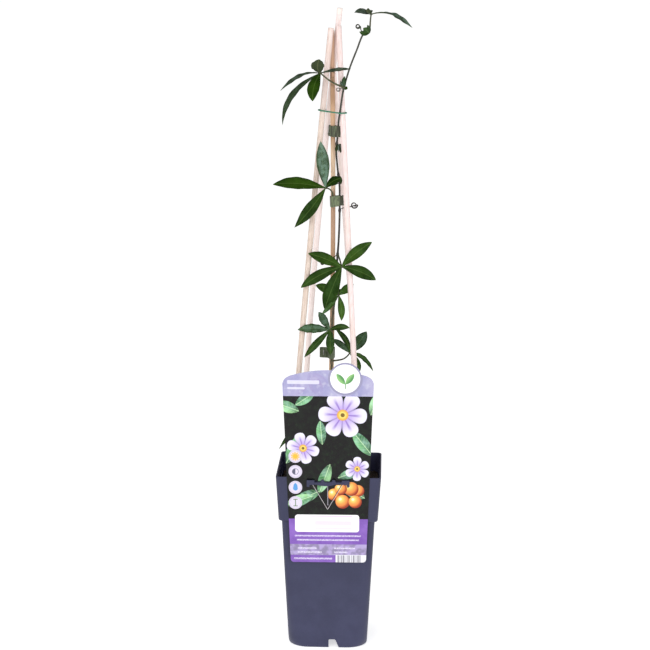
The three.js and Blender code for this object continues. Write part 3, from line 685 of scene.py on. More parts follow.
# %% [markdown]
# ## The compost
#
# Potting compost is a mix of dark fibre, crumbs and a few pale bits of wood and mineral. Its
# surface has broad lumps, and on them lie thousands of crumbs. The lumps are a skin whose points
# are moved by noise. The crumbs repeat, so Geometry Nodes scatter them: points on the top, a low
# polygon ball on each, with a random size, turn and tone from a fixed seed.

# %% Compost finish
def compost_paint(net):
    at, tone = net.object_place(), net.stored("tone")
    fine = net.noise(at, 700, 4)
    dark = net.mix(fine.ramp(0.3, 0.7), (24, 18, 14), (58, 44, 34))
    crumb = net.mix(tone.ramp(0.1, 0.75), (34, 25, 19), (86, 62, 44))
    colour = net.coats(dark, (0.3 + 0.5 * net.noise(at, 260, 3).ramp(0.4, 0.6), crumb),
                       (tone.ramp(0.955, 0.97), (176, 158, 130)))
    return colour, 0.82 + 0.15 * fine, net.bump(net.noise(at, 1500, 5), 0.0006)


COMPOST = finish("moist_compost", compost_paint)

# %% Compost body
SOIL_LEVEL = RIM_TOP - POT["soil_drop"]
INSET = WALL + 0.35
TOP_RINGS = 46


def lump(x, y):
    """The height of the compost over its level, in millimetres."""
    broad = math.sin(x * 0.31 + 1) * math.cos(y * 0.27) + 0.6 * math.sin(x * 0.11 - y * 0.4)
    rough = noise.fractal(Vector((x, y, 3)) * 0.12, 0.8, 2.0, 4)
    return 1.1 * broad + 1.3 * rough


soil_rings = [wall_ring(z, half, INSET + more) for z, half, more in
              ((FLOOR_TOP + 0.4, body_half(FLOOR_TOP), 0), (60, body_half(60), 0),
               (LEDGE - 1, body_half(LEDGE), 0), (INNER_LEDGE, body_half(LEDGE), 0),
               (INNER_LEDGE + 1, collar_half(LEDGE), 0),
               (SOIL_LEVEL - 3, collar_half(SOIL_LEVEL), 0.2))]
rim_ring = wall_ring(SOIL_LEVEL - 2.4, collar_half(SOIL_LEVEL), INSET + 0.3)
for step in range(TOP_RINGS):
    scale = 1 - (step + 0.2) / TOP_RINGS
    spots = [(p.x * scale, p.y * scale) for p in rim_ring]
    soil_rings.append([Vector((x, y, SOIL_LEVEL + lump(x, y))) for x, y in spots])
soil_body = skin("soil_body", soil_rings)

# %% Crumbs on the compost
def crumb_tree():
    net, (ground, density, small, large, seed) = new_tree(
        "crumbs", ("Ground", "Geometry", None), ("Density", "Float", 450000.0),
        ("Smallest", "Float", 0.0003), ("Largest", "Float", 0.0012), ("Seed", "Int", 4))
    slope = net.parts(net.add("GeometryNodeInputNormal"))[2]
    height = net.parts(net.add("GeometryNodeInputPosition"))[2]
    on_top = slope.fn("GREATER_THAN", 0.3) * height.fn("GREATER_THAN", (SOIL_LEVEL - 4) * MM)
    points = net.add("GeometryNodeDistributePointsOnFaces", {},
                     {"Mesh": ground, "Selection": on_top, 4: density, 6: seed})

    def chance(low, high, number):
        return net.add("FunctionNodeRandomValue", {"data_type": "FLOAT"},
                       {2: low, 3: high, 8: number}, 1)

    size = small + (large - small) * chance(0.0, 1.0, 11) ** 3
    points = net.keep(points, "tone", chance(0.0, 1.0, 12))
    squash = net.vector(*(size * chance(low, high, number) for low, high, number in
                          ((0.7, 1.5, 13), (0.6, 1.1, 14), (0.5, 0.9, 15))))
    turn = net.vector(*(chance(0.0, FULL_TURN, number) for number in (16, 17, 18)))
    grain = net.add("GeometryNodeMeshIcoSphere", {}, {"Radius": 1.0, "Subdivisions": 1})
    crumbs = net.add("GeometryNodeInstanceOnPoints", {},
                     {"Points": points, "Instance": grain, "Scale": squash, "Rotation": turn})
    both = net.add("GeometryNodeJoinGeometry")
    for part in (ground, crumbs):
        net.tree.links.new(part.socket, both.node.inputs[0])
    return end_tree(net, both, COMPOST, 1.2)


ground_mesh = soil_body.data
bpy.data.objects.remove(soil_body)
settle(run_tree(crumb_tree(), "crumbly_compost", ground_mesh, {"Seed": 4}), "soil", "soil")

# %% [markdown]
# ## Paths
#
# Canes, stem, stalks, tendrils and the tie are all rods that follow a path. A path is a list of
# points that a smooth curve joins. The curve used here takes the distance between points into
# account, so that it never swings out between two close ones.

# %% Smooth paths through points
def smooth_path(points, per_span=16):
    """A dense line on the centripetal Catmull-Rom curve through the points."""
    points = [Vector(p) for p in points]
    ends = [2 * points[0] - points[1]] + points + [2 * points[-1] - points[-2]]
    line = []
    for i in range(1, len(ends) - 2):
        p0, p1, p2, p3 = ends[i - 1:i + 3]
        d0, d1, d2 = (max((b - a).length, 1e-4) ** 0.5 for a, b in ((p0, p1), (p1, p2), (p2, p3)))
        leave = ((p1 - p0) / d0 - (p2 - p0) / (d0 + d1) + (p2 - p1) / d1) * d1
        arrive = ((p2 - p1) / d1 - (p3 - p1) / (d1 + d2) + (p3 - p2) / d2) * d1
        for step in range(per_span):
            t = step / per_span
            line.append((2 * t**3 - 3 * t**2 + 1) * p1 + (t**3 - 2 * t**2 + t) * leave
                        + (3 * t**2 - 2 * t**3) * p2 + (t**3 - t**2) * arrive)
    return line + [points[-1]]


def line_length(line):
    return sum((b - a).length for a, b in zip(line, line[1:]))


def spaced(line, count):
    """Points at equal distances along a line, count steps in all."""
    step, result, passed, index = line_length(line) / count, [line[0]], 0.0, 0
    for k in range(1, count):
        while passed + (line[index + 1] - line[index]).length < k * step:
            passed += (line[index + 1] - line[index]).length
            index += 1
        along = (k * step - passed) / (line[index + 1] - line[index]).length
        result.append(line[index].lerp(line[index + 1], along))
    return result + [line[-1]]


def at_height(line, z):
    """Where a rising line passes a height."""
    for a, b in zip(line, line[1:]):
        if a.z <= z < b.z:
            return a.lerp(b, (z - a.z) / (b.z - a.z))
    return line[-1]


# %% [markdown]
# ## Rods
#
# One small Geometry Nodes tree turns any such line into a round rod: the line becomes a curve, a
# circle is drawn along it, and the girth kept on each point scales the circle there. Girths that
# shrink at the last two points give a cut end with a soft edge.

# %% Rods along paths
def rod_tree(name, material, sides):
    net, (lines, around) = new_tree(name, ("Lines", "Geometry", None), ("Sides", "Int", sides))
    curve = net.add("GeometryNodeMeshToCurve", {}, {"Mesh": lines})
    ring = net.add("GeometryNodeCurvePrimitiveCircle", {}, {0: around, 4: 1.0})
    rods = net.add("GeometryNodeCurveToMesh", {},
                   {"Curve": curve, "Profile Curve": ring, "Scale": net.read("girth"),
                    "Fill Caps": True})
    return end_tree(net, rods, material, 0.9)


def rods(tree, name, *strands, closed=False):
    """Rods along lines. Each strand is its points and a radius for each, in millimetres."""
    points, edges, girths = [], [], []
    for line, radii in strands:
        first = len(points)
        points += [place(*p) for p in line]
        girths += [radius * MM for radius in radii]
        edges += [(first + i, first + i + 1) for i in range(len(line) - 1)]
        if closed:
            edges.append((first + len(line) - 1, first))
    mesh = mesh_of(name, points, edges)
    put(mesh, "girth", girths)
    return run_tree(tree, name, mesh, {})


def soft_ended(line, radius, edge=0.4):
    """A line with extra points at both ends, and radii that round its cut edges."""
    first, last = line[0], line[-1]
    toward, away = (line[1] - first).normalized(), (line[-2] - last).normalized()
    line = ([first, first + toward * edge * 0.35, first + toward * edge] + line[1:-1]
            + [last + away * edge, last + away * edge * 0.35, last])
    ends = [radius - edge, radius - edge * 0.3]
    return line, ends + [radius] * (len(line) - 4) + ends[::-1]


# %% [markdown]
# ## The canes
#
# The four outer canes are thin pale rods of softwood, pushed into the compost at the pot's
# corners and bent in by the tie. The middle one is a tan cane. Fresh wood like this shows fine
# grain that runs with the rod, so the pattern is stretched along Z, and the tan one has a darker,
# dirtier place where hands and wet leaves have touched it, and a darker spotted band near its top.

# %% Cane finishes
def grain_noise(net, at, across, along):
    """Noise in long upright streaks."""
    x, y, z = net.parts(at)
    return net.noise(net.vector(x * across, y * across, z * along), 1.0, 3.0)


def pale_cane_paint(net):
    at = net.object_place()
    x, y, height = net.parts(at)
    streaks, fibres = grain_noise(net, at, 1500, 30), grain_noise(net, at, 4200, 70)
    # painted light: the two at the back are painted paler against the shade they stand in, and the
    # front left one is older and greyer
    back_canes_painted_light = (y - AXIS.y).ramp(0.0, 0.004)
    older = (1 - (x - AXIS.x).ramp(-0.002, 0.003)) * (1 - (y - AXIS.y).ramp(-0.004, 0.001))
    older = older * (1 - height.ramp(0.54, 0.6) * 0.55)
    grey = net.mix(streaks.ramp(0.35, 0.65), (214, 198, 180), (184, 164, 142))
    colour = net.coats(net.mix(streaks.ramp(0.35, 0.72), (241, 222, 221), (225, 202, 196)),
                       (back_canes_painted_light * 0.5, (255, 244, 240)),
                       (net.noise(at, 35, 3).ramp(0.5, 0.75) * 0.35, (234, 206, 192)),
                       (fibres.ramp(0.6, 0.8) * 0.4, (206, 178, 158)),
                       (height.ramp(0.6635, 0.6645) * 0.5, (250, 240, 230)),
                       (older * 0.66, grey))
    return colour, 0.5 + 0.2 * streaks, net.bump(streaks + fibres * 0.5, 0.00022)


def tan_cane_paint(net):
    at = net.object_place()
    height, spots = net.parts(at)[2], net.noise(at, 190, 4)
    streaks, fibres = grain_noise(net, at, 1300, 22), grain_noise(net, at, 3800, 60)
    # bands of other tones up the cane; the last one is only darker, in spots, near the cane's top
    rosy, bleached, dirty, orange, dark_spotted_band = (height.between(*levels) for levels in (
        (0.42, 0.44, 0.455, 0.475), (0.475, 0.49, 0.518, 0.54), (0.303, 0.308, 0.365, 0.38),
        (0.545, 0.552, 0.566, 0.58), (0.588, 0.594, 0.606, 0.612)))
    colour = net.coats(net.mix(streaks.ramp(0.3, 0.75), (196, 158, 124), (164, 126, 94)),
                       (rosy * 0.5, (180, 146, 126)), (bleached * 0.85, (240, 211, 181)),
                       (dirty * spots.ramp(0.3, 0.6) * 0.7, (112, 104, 72)),
                       ((1 - height.ramp(0.3, 0.304)) * 0.6, (206, 164, 112)),
                       (height.ramp(0.59, 0.61) * 0.5, (214, 176, 152)),
                       (orange * 0.8, (228, 188, 152)),
                       (dark_spotted_band * spots.ramp(0.35, 0.55) * 0.85, (118, 88, 60)),
                       (fibres.ramp(0.58, 0.8) * 0.4, (150, 112, 80)))
    return colour, 0.42 + 0.2 * streaks, net.bump(streaks + fibres * 0.5, 0.0002)


PALE_CANE = finish("pale_cane_wood", pale_cane_paint)
TAN_CANE = finish("tan_cane_wood", tan_cane_paint)

# %% Canes
CANE_LENGTH, CANE_INWARD = 600, 0.0012
CANE_RADIUS, CENTRE_RADIUS = 3.0, 2.5
CANE_STEPS, CANE_SEED = 150, 11
CENTRE = "cane_centre"
CANES = {
    "cane_front_left": [(-41.5, -38, 172), (-24, -23.5, 400), (-2.1, -6.7, 650)],
    "cane_back_left": [(-33, 37, 172), (-18.6, 21.5, 400), (6.7, 3.3, 670)],
    "cane_front_right": [(33, -38, 172), (19.2, -21.2, 410), (5.6, -2.2, 652)],
    "cane_back_right": [(31, 37.5, 172), (17.5, 25.5, 400), (-3.2, 12, 640)],
    CENTRE: [(-1.4, 0.3, 172), (1.4, 0.5, 440), (-1.5, 1, 648)],
}


def cane_line(name):
    """A cane's middle line: bent through its three points, and straight down into the soil."""
    low, middle, top = (Vector(p) for p in CANES[name])
    t = (middle.z - low.z) / (top.z - low.z)
    pull = (middle - low * (1 - t) ** 2 - top * t**2) / (2 * t * (1 - t))
    bend = [low * (1 - s) ** 2 + pull * 2 * s * (1 - s) + top * s**2
            for s in (i / 200 for i in range(201))]
    down = Vector((-low.x * CANE_INWARD, -low.y * CANE_INWARD, -1))
    foot = low + down * (CANE_LENGTH - line_length(bend))
    return smooth_path([foot, low.lerp(foot, 0.5)] + spaced(bend, 6), 24)


CANE_LINES = {name: cane_line(name) for name in CANES}
pale_tree = rod_tree("pale_rods", PALE_CANE, 32)
tan_tree = rod_tree("tan_rods", TAN_CANE, 32)
draw = random.Random(CANE_SEED)
for name, path in CANE_LINES.items():
    tree, kind, slot, radius = ((tan_tree, "tan_rod", "cane_tan", CENTRE_RADIUS) if name == CENTRE
                                else (pale_tree, "pale_rod", "cane_pale", CANE_RADIUS))
    line, radii = soft_ended(spaced(path, CANE_STEPS), radius)
    # a cane isn't quite even: its radius wanders by a hundredth or two
    quick, slow, _ = (draw.uniform(0, FULL_TURN) for _ in range(3))
    radii = [r * (1 - 0.012 * (1 + math.sin(i * 0.21 + quick) * math.cos(i * 0.09 + slow)))
             for i, r in enumerate(radii)]
    piece = rods(tree, name.replace("cane", kind), (line, radii))
    settle(outward(piece), slot, name)

# %% [markdown]
# ## The tie
#
# One green elastic ring holds the four canes and the vine together near their tops. It lies as
# tight as a string round them, so its path is the outline round five circles, and it slips up a
# little on the left.

# %% Elastic and tie ring
STEM_PATH = [
    (4.5, -7, 112), (4.5, -7, 172), (2.6, -6.6, 240), (1.2, -6.2, 302), (1.3, -6.2, 325),
    (1.8, -6.2, 350), (4.8, -6.4, 376), (5.6, -6.2, 392), (6.1, -6, 410), (7.4, -5.6, 430),
    (8.2, -5.2, 455), (8.2, -5.2, 474), (7.8, -5.2, 490), (5.6, -5.2, 508), (4.3, -5.2, 525),
    (5.4, -5.6, 540), (6.2, -8, 550), (6.8, -11, 558), (8, -13.2, 566), (10.6, -14.4, 584),
    (12.4, -15, 592), (17.6, -16, 610), (24.5, -16.2, 628), (31, -16, 644), (36.2, -15.4, 648.5),
]
STEM_RADIUS = 1.15
STEM_LINE = smooth_path(STEM_PATH, 20)
GAP = 0.35
TIE_LEVEL, TIE_RADIUS, TIE_TILT, TIE_TILTS_FROM = 564, 0.75, 0.17, 4


def elastic_paint(net):
    at = net.object_place()
    streaks = net.noise(at, 900, 3)
    return (net.mix(streaks.ramp(0.3, 0.7), (30, 92, 70), (58, 132, 102)),
            0.4 + 0.25 * streaks, net.bump(streaks, 0.00015))


ELASTIC = finish("green_elastic", elastic_paint)


def outline_round(circles, grow, steps, start=0.0):
    """The tight outline round several circles (x, y, radius), grown by some distance."""
    outline = []
    for i in range(steps):
        angle = start + math.tau * i / steps
        dx, dy = math.cos(angle), math.sin(angle)
        x, y, r = max(circles, key=lambda c: c[0] * dx + c[1] * dy + c[2])
        outline.append((x + (r + grow) * dx, y + (r + grow) * dy))
    return outline


def cross_circle(line, z, radius):
    p = at_height(line, z)
    return p.x, p.y, radius


tied = [cross_circle(line, TIE_LEVEL, CANE_RADIUS)
        for name, line in CANE_LINES.items() if name != CENTRE]
tied.append(cross_circle(STEM_LINE, TIE_LEVEL, STEM_RADIUS))
loop = [Vector((x, y, TIE_LEVEL + TIE_TILT * max(0, TIE_TILTS_FROM - x)))
        for x, y in outline_round(tied, TIE_RADIUS + GAP, 30)]
tie = rods(rod_tree("elastic_ring", ELASTIC, 14), "elastic_tie", (loop, [TIE_RADIUS] * len(loop)),
           closed=True)
settle(outward(tie), "tie", "tie_ring")

# %% [markdown]
# ## The binding tapes
#
# Three short strips of soft grey-green film hold the vine to the tan cane. Each strip goes round
# both and its two ends are pressed together into a flag, closed by a staple. So a tape is made as
# what it is: one strip with a thickness, along a path that starts at the flag's end, goes round,
# and comes back beside itself. Waves along its edges and over its face keep it from looking cut
# by a machine.

# %% Tape film
def tape_paint(net):
    at = net.object_place()
    x, y, z = net.parts(at)
    folds = net.noise(net.vector(x * 900, y * 900, z * 120), 1.0, 3)
    weave = (z * 5200).fn("SINE") * 0.5 + 0.5
    stains = net.noise(at, 420, 4)
    painted_fold_shade = net.noise(net.vector(x * 430, y * 160, z * 24), 1.0).ramp(0.44, 0.56)
    low_one, high_one = 1 - z.ramp(0.32, 0.36), z.ramp(0.5, 0.52)
    turned = (x - AXIS.x).ramp(0.0078, 0.009) * (1 - low_one) * (1 - high_one)
    # the low one is old and dark, the middle one has painted shade where it turns away
    # from the light round the stem, and the high one is browner, with painted shade in its folds
    colour = net.coats(net.mix(folds.ramp(0.3, 0.8), (116, 130, 96), (76, 88, 62)),
                       (stains.ramp(0.5, 0.7) * 0.7, (48, 48, 42)), (low_one * 0.45, (36, 43, 31)),
                       (turned * 0.85, (44, 42, 32)),
                       (high_one * (0.2 + 0.75 * painted_fold_shade), (34, 29, 15)),
                       (weave * 0.15 * (1 - low_one * 0.6), (140, 150, 120)))
    return colour, 0.45 + 0.25 * stains, net.bump(folds + weave * 0.12, 0.0005)


def steel_paint(net):
    scratches = net.noise(net.object_place(), 3000)
    return (net.mix(scratches, (150, 150, 152), (196, 196, 198)), 0.25 + 0.3 * scratches,
            net.bump(scratches, 0.00005))


TAPE_FILM = finish("tape_film", tape_paint)
STAPLE_WIRE = finish("staple_wire", steel_paint, Metallic=1.0)

# %% Strips of film
TAPE_HEIGHT, FILM, FLAG_GAP = 12, 0.45, 0.06
FLAG_STEPS, ROWS, TAPE_SEED = 14, 15, 30
RISES = (0, TAPE_HEIGHT / 2, TAPE_HEIGHT)
TAPES = {
    # bottom, angle and length of the flag, how hollow the top edge is, how it widens downwards,
    # its rise for each millimetre to the right, and the stalks that pass inside it
    "low": (305.8, 184, 9.8, 0.3, 0.0, 0.0, []),
    "middle": (467, 35, 8, 1.6, -0.2, 0.16, [(1, -7.5, 1)]),
    "high": (539, 126, 4.6, 0.5, 0.1, 0.0, []),
}


def film_strip(name, shape_of, seed):
    """One strip round the cane and the stem, with both of its ends in the flag."""
    bottom, flag_angle, flag_length, hollow, flare, tilt, stalks = shape_of
    wave = random.Random(seed)
    phase = [wave.uniform(0, math.tau) for _ in range(5)]
    angle = math.radians(flag_angle)
    out = Vector((math.cos(angle), math.sin(angle), 0))
    across = Vector((-math.sin(angle), math.cos(angle), 0))
    circles = [cross_circle(line, bottom + rise, radius) for rise in RISES for line, radius in
               ((CANE_LINES[CENTRE], CENTRE_RADIUS), (STEM_LINE, 1.15 * STEM_RADIUS))] + stalks
    ring = [Vector((x, y, 0)) for x, y in outline_round(circles, GAP + FILM / 2, 120, angle)]
    root, side = ring[0], FILM / 2 + FLAG_GAP
    flag_in = [root + out * (flag_length * (1 - i / FLAG_STEPS)) + across * side
               for i in range(FLAG_STEPS)]
    flag_out = [root + out * (flag_length * (i + 1) / FLAG_STEPS) - across * side
                for i in range(FLAG_STEPS)]
    route = flag_in + ring[3:-3] + flag_out
    count = len(route)
    route = [sum((route[max(0, min(count - 1, i + k))] for k in (-1, 0, 1)), Vector()) / 3
             for i in range(count)]
    middle = sum((Vector((x, y, 0)) for x, y, _ in circles), Vector()) / len(circles)
    shape = bmesh.new()

    def film_point(face, v, i):
        """The corner of the strip at a height from 0 to 1, on its outer (1) or inner (-1) face."""
        p = route[i]
        forward = (route[min(i + 1, count - 1)] - route[max(i - 1, 0)]).normalized()
        u = i / count * math.tau
        on_flag = max(0.0, (p - root).dot(out)) / flag_length
        facing = (p - middle).normalized().y
        crumple = 0.16 * math.sin(9 * u + phase[0] + 2 * v) * (1 - on_flag)
        crumple += 0.1 * math.sin(17 * u + phase[1])
        top_dip = hollow * (1 - abs(facing) ** 3) if facing < 0 else hollow * 0.4
        z = bottom + v * TAPE_HEIGHT
        z -= v * top_dip + v * 0.25 * (1 + math.sin(5 * u + phase[3]))
        z += (1 - v) * 0.25 * (1 + math.sin(4 * u + phase[4]))
        # the flag's corners are cut off a little
        z += (0.5 - v) * 2.2 * max(0.0, on_flag - 0.75)
        z += tilt * (p.x - middle.x) * (1 - on_flag)
        push = face * FILM / 2 * (0.75 if v in (0, 1) else 1.0)
        push += max(0.0, crumple + 0.08) * (1 if on_flag < 0.02 else 0.35)
        push += flare * (1 - v) ** 2 * (1 - min(1, 2 * on_flag)) * 0.9
        where = p + Vector((forward.y, -forward.x, 0)) * push
        where += across * (0.5 * on_flag**2 * math.sin(2.2 * v + phase[2]))
        return shape.verts.new(place(where.x, where.y, z))

    outer, inner = ([[film_point(face, r / (ROWS - 1), i) for i in range(count)]
                     for r in range(ROWS)] for face in (1, -1))
    for r in range(ROWS - 1):
        for i in range(count - 1):
            shape.faces.new((outer[r][i], outer[r][i + 1], outer[r + 1][i + 1], outer[r + 1][i]))
            shape.faces.new((inner[r][i + 1], inner[r][i], inner[r + 1][i], inner[r + 1][i + 1]))
    for r in (0, ROWS - 1):
        for i in range(count - 1):
            shape.faces.new((outer[r][i], inner[r][i], inner[r][i + 1], outer[r][i + 1]))
    for i in (0, count - 1):
        for r in range(ROWS - 1):
            shape.faces.new((outer[r][i], outer[r + 1][i], inner[r + 1][i], inner[r][i]))
    piece = outward(set_down(name, shape))
    piece.data.materials.append(TAPE_FILM)
    smooth_but(piece, 0.9)
    return piece, root, out, across


# %% Tapes and staples
WIRE = 0.3
STAPLE_REACH = FILM + FLAG_GAP + WIRE + 0.3
staple_tree = rod_tree("staples", STAPLE_WIRE, 10)
for number, (name, shape_of) in enumerate(TAPES.items()):
    bottom, _, flag_length = shape_of[:3]
    tape, root, out, across = film_strip("film_tape_" + name, shape_of, TAPE_SEED + number)
    settle(tape, "tape", "tape_" + name)
    foot = root + out * (flag_length * 0.55) + Vector((0, 0, bottom + TAPE_HEIGHT / 2))
    arm = [(-STAPLE_REACH, 0.9), (-STAPLE_REACH - 0.05, 2.3), (-STAPLE_REACH + 0.35, 2.5),
           (STAPLE_REACH - 0.3, 2.5), (STAPLE_REACH, 2.2)]
    corners = arm + [(a, -b) for a, b in arm[::-1]]
    bent = smooth_path([foot + across * a + Vector((0, 0, b)) for a, b in corners], 6)
    staple = rods(staple_tree, "wire_staple_" + name, (bent, [WIRE] * len(bent)))
    settle(outward(staple), "staple", "staple_" + name)

# %% [markdown]
# ## Leaf and bark finishes
#
# A passion flower's leaf is dark and waxy above, with a pale rib and finer side veins, and paler
# and matt below. Each leaflet's mesh keeps how far along and across it every point lies, so the
# material draws veins that follow the blade however it bends. A tone from 0 to 1 sets how fresh a
# leaflet is, and below 0 how dull and dusty. A gloss value sets how much it shines, and also how
# much painted sheen, a silver painted reflection, lies on it, since the leaves that face the
# window look almost silver.

# %% Leaf finish
def leaf_paint(net):
    at = net.object_place()
    along, off_rib, under = net.stored("station"), abs(net.stored("across")), net.stored("under")
    tone, gloss_and_painted_sheen = net.stored("tone"), net.stored("gloss_and_painted_sheen")
    rib = 1 - net.stored("rib_distance").ramp(0.00016, 0.00055)
    side_vein = 1 - abs((net.stored("vein_phase") * math.pi).fn("SINE")).ramp(0.02, 0.22)
    side_vein = side_vein * (1 - off_rib.ramp(0.7, 0.97)) * along.ramp(0.03, 0.12)
    net_veins = net.add("ShaderNodeTexVoronoi", {"feature": "DISTANCE_TO_EDGE"},
                        {"Vector": at, "Scale": 620.0})
    mesh_lines = 1 - net_veins.ramp(0.0, 0.12)
    mottle, broad = net.noise(at, 160, 4), net.noise(at, 34).ramp(0.35, 0.65)
    dusk, fresh = (0 - tone).at_least(0.0), tone.at_least(0.0)
    dusty = net.mix(mottle.ramp(0.35, 0.65), (42, 46, 34), (66, 68, 54))
    light_patch = net.mix(fresh, (44, 76, 14), (104, 142, 48))
    glint = mottle.ramp(0.42, 0.58) * 0.6 + mesh_lines * 0.6 + side_vein * 0.4
    # painted sheen: a silver painted reflection, strongest on glossy leaflets and along their
    # veins, faint at the margins
    painted_sheen = gloss_and_painted_sheen * (0.18 + 0.82 * glint.fn("MINIMUM", 1.0)) * (1 - off_rib.ramp(0.5, 0.92) * 0.75)
    # painted shade: each half of the blade is darker towards its margin
    above = net.coats(net.mix(broad, (16, 38, 3), (32, 57, 7)),
                      (fresh, net.mix(broad, (56, 94, 14), (86, 124, 30))),
                      (off_rib.ramp(0.3, 1.0) * 0.45, (14, 28, 5)),
                      (mottle.ramp(0.4, 0.7) * 0.35, light_patch),
                      (mesh_lines * 0.12, (48, 78, 24)), (side_vein * 0.16, (78, 104, 44)),
                      (rib * 0.34, (98, 122, 60)), (dusk * 0.85, dusty),
                      (off_rib.ramp(0.93, 1.0) * 0.6, (24, 26, 14)),
                      (painted_sheen * 0.72, (122, 152, 138)))
    below = net.coats(net.mix(fresh, (46, 64, 34), (88, 116, 52)),
                      (side_vein * 0.3, (120, 138, 92)), (rib * 0.5, (126, 132, 88)),
                      (dusk * 0.7, (74, 74, 60)))
    relief = mottle * 0.25 - mesh_lines * 0.3 - side_vein * 0.5
    return (net.mix(under, above, below), 0.36 + 0.3 * under + 0.12 * mottle - 0.08 * gloss_and_painted_sheen,
            net.bump(relief, 0.00035), gloss_and_painted_sheen * 0.35 * (1 - under))


def bark_paint(net):
    at = net.object_place()
    height, spots = net.parts(at)[2], net.noise(at, 330, 3)
    streaks = grain_noise(net, at, 1800, 60)
    woody = net.mix(spots.ramp(0.4, 0.6), (112, 96, 68), (66, 68, 44))
    colour = net.coats(net.mix(streaks.ramp(0.3, 0.7), (26, 20, 22), (54, 44, 40)),
                       (height.ramp(0.5, 0.6) * 0.6, (46, 54, 36)),
                       (height.between(0.25, 0.28, 0.345, 0.375) * 0.75, woody),
                       (spots.ramp(0.52, 0.75) * 0.5, (62, 70, 40)))
    return colour, 0.42 + 0.2 * spots, net.bump(streaks + spots, 0.0003)


def green_stalk_paint(net):
    at = net.object_place()
    streaks = grain_noise(net, at, 1500, 90)
    colour = net.coats(net.mix(streaks.ramp(0.3, 0.7), (44, 52, 26), (74, 80, 42)),
                       (net.noise(at, 210, 3).ramp(0.45, 0.7) * 0.6, (76, 54, 40)))
    return colour, 0.4 + 0.2 * streaks, net.bump(streaks, 0.0002)


LEAF_GREEN = finish("waxy_leaf", leaf_paint, Specular_IOR_Level=0.03, Coat_Roughness=0.3)
VINE_BARK = finish("vine_bark", bark_paint)
LEAF_STALK = finish("leaf_stalk", green_stalk_paint)

# %% [markdown]
# ## Leaflets
#
# All leaflets follow one rule: a rib bent like a bow, a width that swells and then runs out to a
# point, edges lifted like a shallow gutter, a wavy margin, and a skin that bulges between the side
# veins. That is a job for one Geometry Nodes tree. Its input is a mesh with one vertex for each
# leaflet, which carries that leaflet's reach, bow, facing, width and tone. A flat grid is put on
# every vertex, and its two directions become the way along the rib and the way round the thin
# section, so each blade is closed all round.

# %% Blade tree
def blade_tree():
    net, (seeds, stations, around, skin_depth, fold, spacing) = new_tree(
        "blades", ("Seeds", "Geometry", None), ("Stations", "Int", 64), ("Around", "Int", 41),
        ("Skin", "Float", 0.00022), ("Fold", "Float", 0.22), ("Vein spacing", "Float", 0.0042))
    here = net.add("GeometryNodeInputPosition")
    grid = net.add("GeometryNodeMeshGrid", {}, {"Size X": 1.0, "Size Y": 1.0,
                                                "Vertices X": stations, "Vertices Y": around})
    gx, gy, _ = net.parts(here)
    grid = net.keep(net.keep(grid, "station", gx + 0.5), "turn", gy + 0.5)
    seeds = net.keep(seeds, "root", here, "FLOAT_VECTOR")
    blades = net.add("GeometryNodeInstanceOnPoints", {}, {"Points": seeds, "Instance": grid})
    blades = net.add("GeometryNodeRealizeInstances", {}, {0: blades})

    root, reach, bow, face, tip_face = (net.read(name, "FLOAT_VECTOR") for name in
                                        ("root", "reach", "bow", "facing", "tip_facing"))
    t, turn, wide, phase, wavy, blunt, twist = (net.read(name) for name in (
        "station", "turn", "wide", "phase", "wavy", "blunt", "twist"))
    s = abs(turn - 0.5) * 4 - 1
    across = s.fn("SIGN") * abs(s) ** 1.35
    off_rib, upper = abs(across), turn.fn("LESS_THAN", 0.5)
    rib_point = root + reach * t + bow * (4 * t * (1 - t))
    along = (reach + bow * (4 - 8 * t)).fn("NORMALIZE")
    side = along.fn("CROSS_PRODUCT", face * (1 - t) + tip_face * t).fn("NORMALIZE")
    normal = side.fn("CROSS_PRODUCT", along)

    ends = t.ramp(0.0, 0.012) * (1 - t.ramp(0.975, 1.0))
    swell = (math.pi * t ** (1.12 + 0.12 * blunt)).fn("SINE").at_least(0.0) ** (1.05 - 0.3 * blunt)
    half = wide * 0.5 * swell + 0.0005 * ends * (1 - t)
    distance = off_rib * half
    vein_phase = (t * reach.fn("LENGTH") - distance * 0.85) / spacing + phase
    inner = (1 - off_rib.ramp(0.75, 1.0)) * t.between(0.04, 0.14, 0.88, 0.99) * (
        distance.ramp(0.0004, 0.0014))
    quilt = abs((vein_phase * math.pi).fn("SINE")) ** 0.6 * inner
    thick = (skin_depth + (1 - t.ramp(0.0, 0.07)) * 0.0003) * ends * (
        (1 - across * across).at_least(0.0) ** 0.5)
    groove = (0 - (distance / 0.0005) ** 2).fn("EXPONENT")
    wave = ((t * 4.5 + phase * 3 + across * 0.22) * math.tau).fn("SINE") * wavy * half
    rise = ((across * across + 0.01) ** 0.5 * half * fold + across * half * twist * t
            + wave * across * across * t.between(0.08, 0.25, 0.85, 1.0))
    relief = quilt * 0.00026 - groove * 0.0002 * (1 - t) * upper
    lower_rib = groove * 0.0004 * (1.1 - t) * ends
    offset = rise + relief + upper * thick - (1 - upper) * (thick + lower_rib)
    new_place = rib_point + side * (across * half) + normal * offset
    blades = net.add("GeometryNodeSetPosition", {}, {"Geometry": blades, "Position": new_place})
    for name, value in (("across", across), ("under", 1 - upper), ("vein_phase", vein_phase),
                        ("rib_distance", distance)):
        blades = net.keep(blades, name, value)
    blades = net.add("GeometryNodeMergeByDistance", {}, {"Geometry": blades, "Distance": 3e-7})
    return end_tree(net, blades, LEAF_GREEN, 1.3)


BLADES = blade_tree()


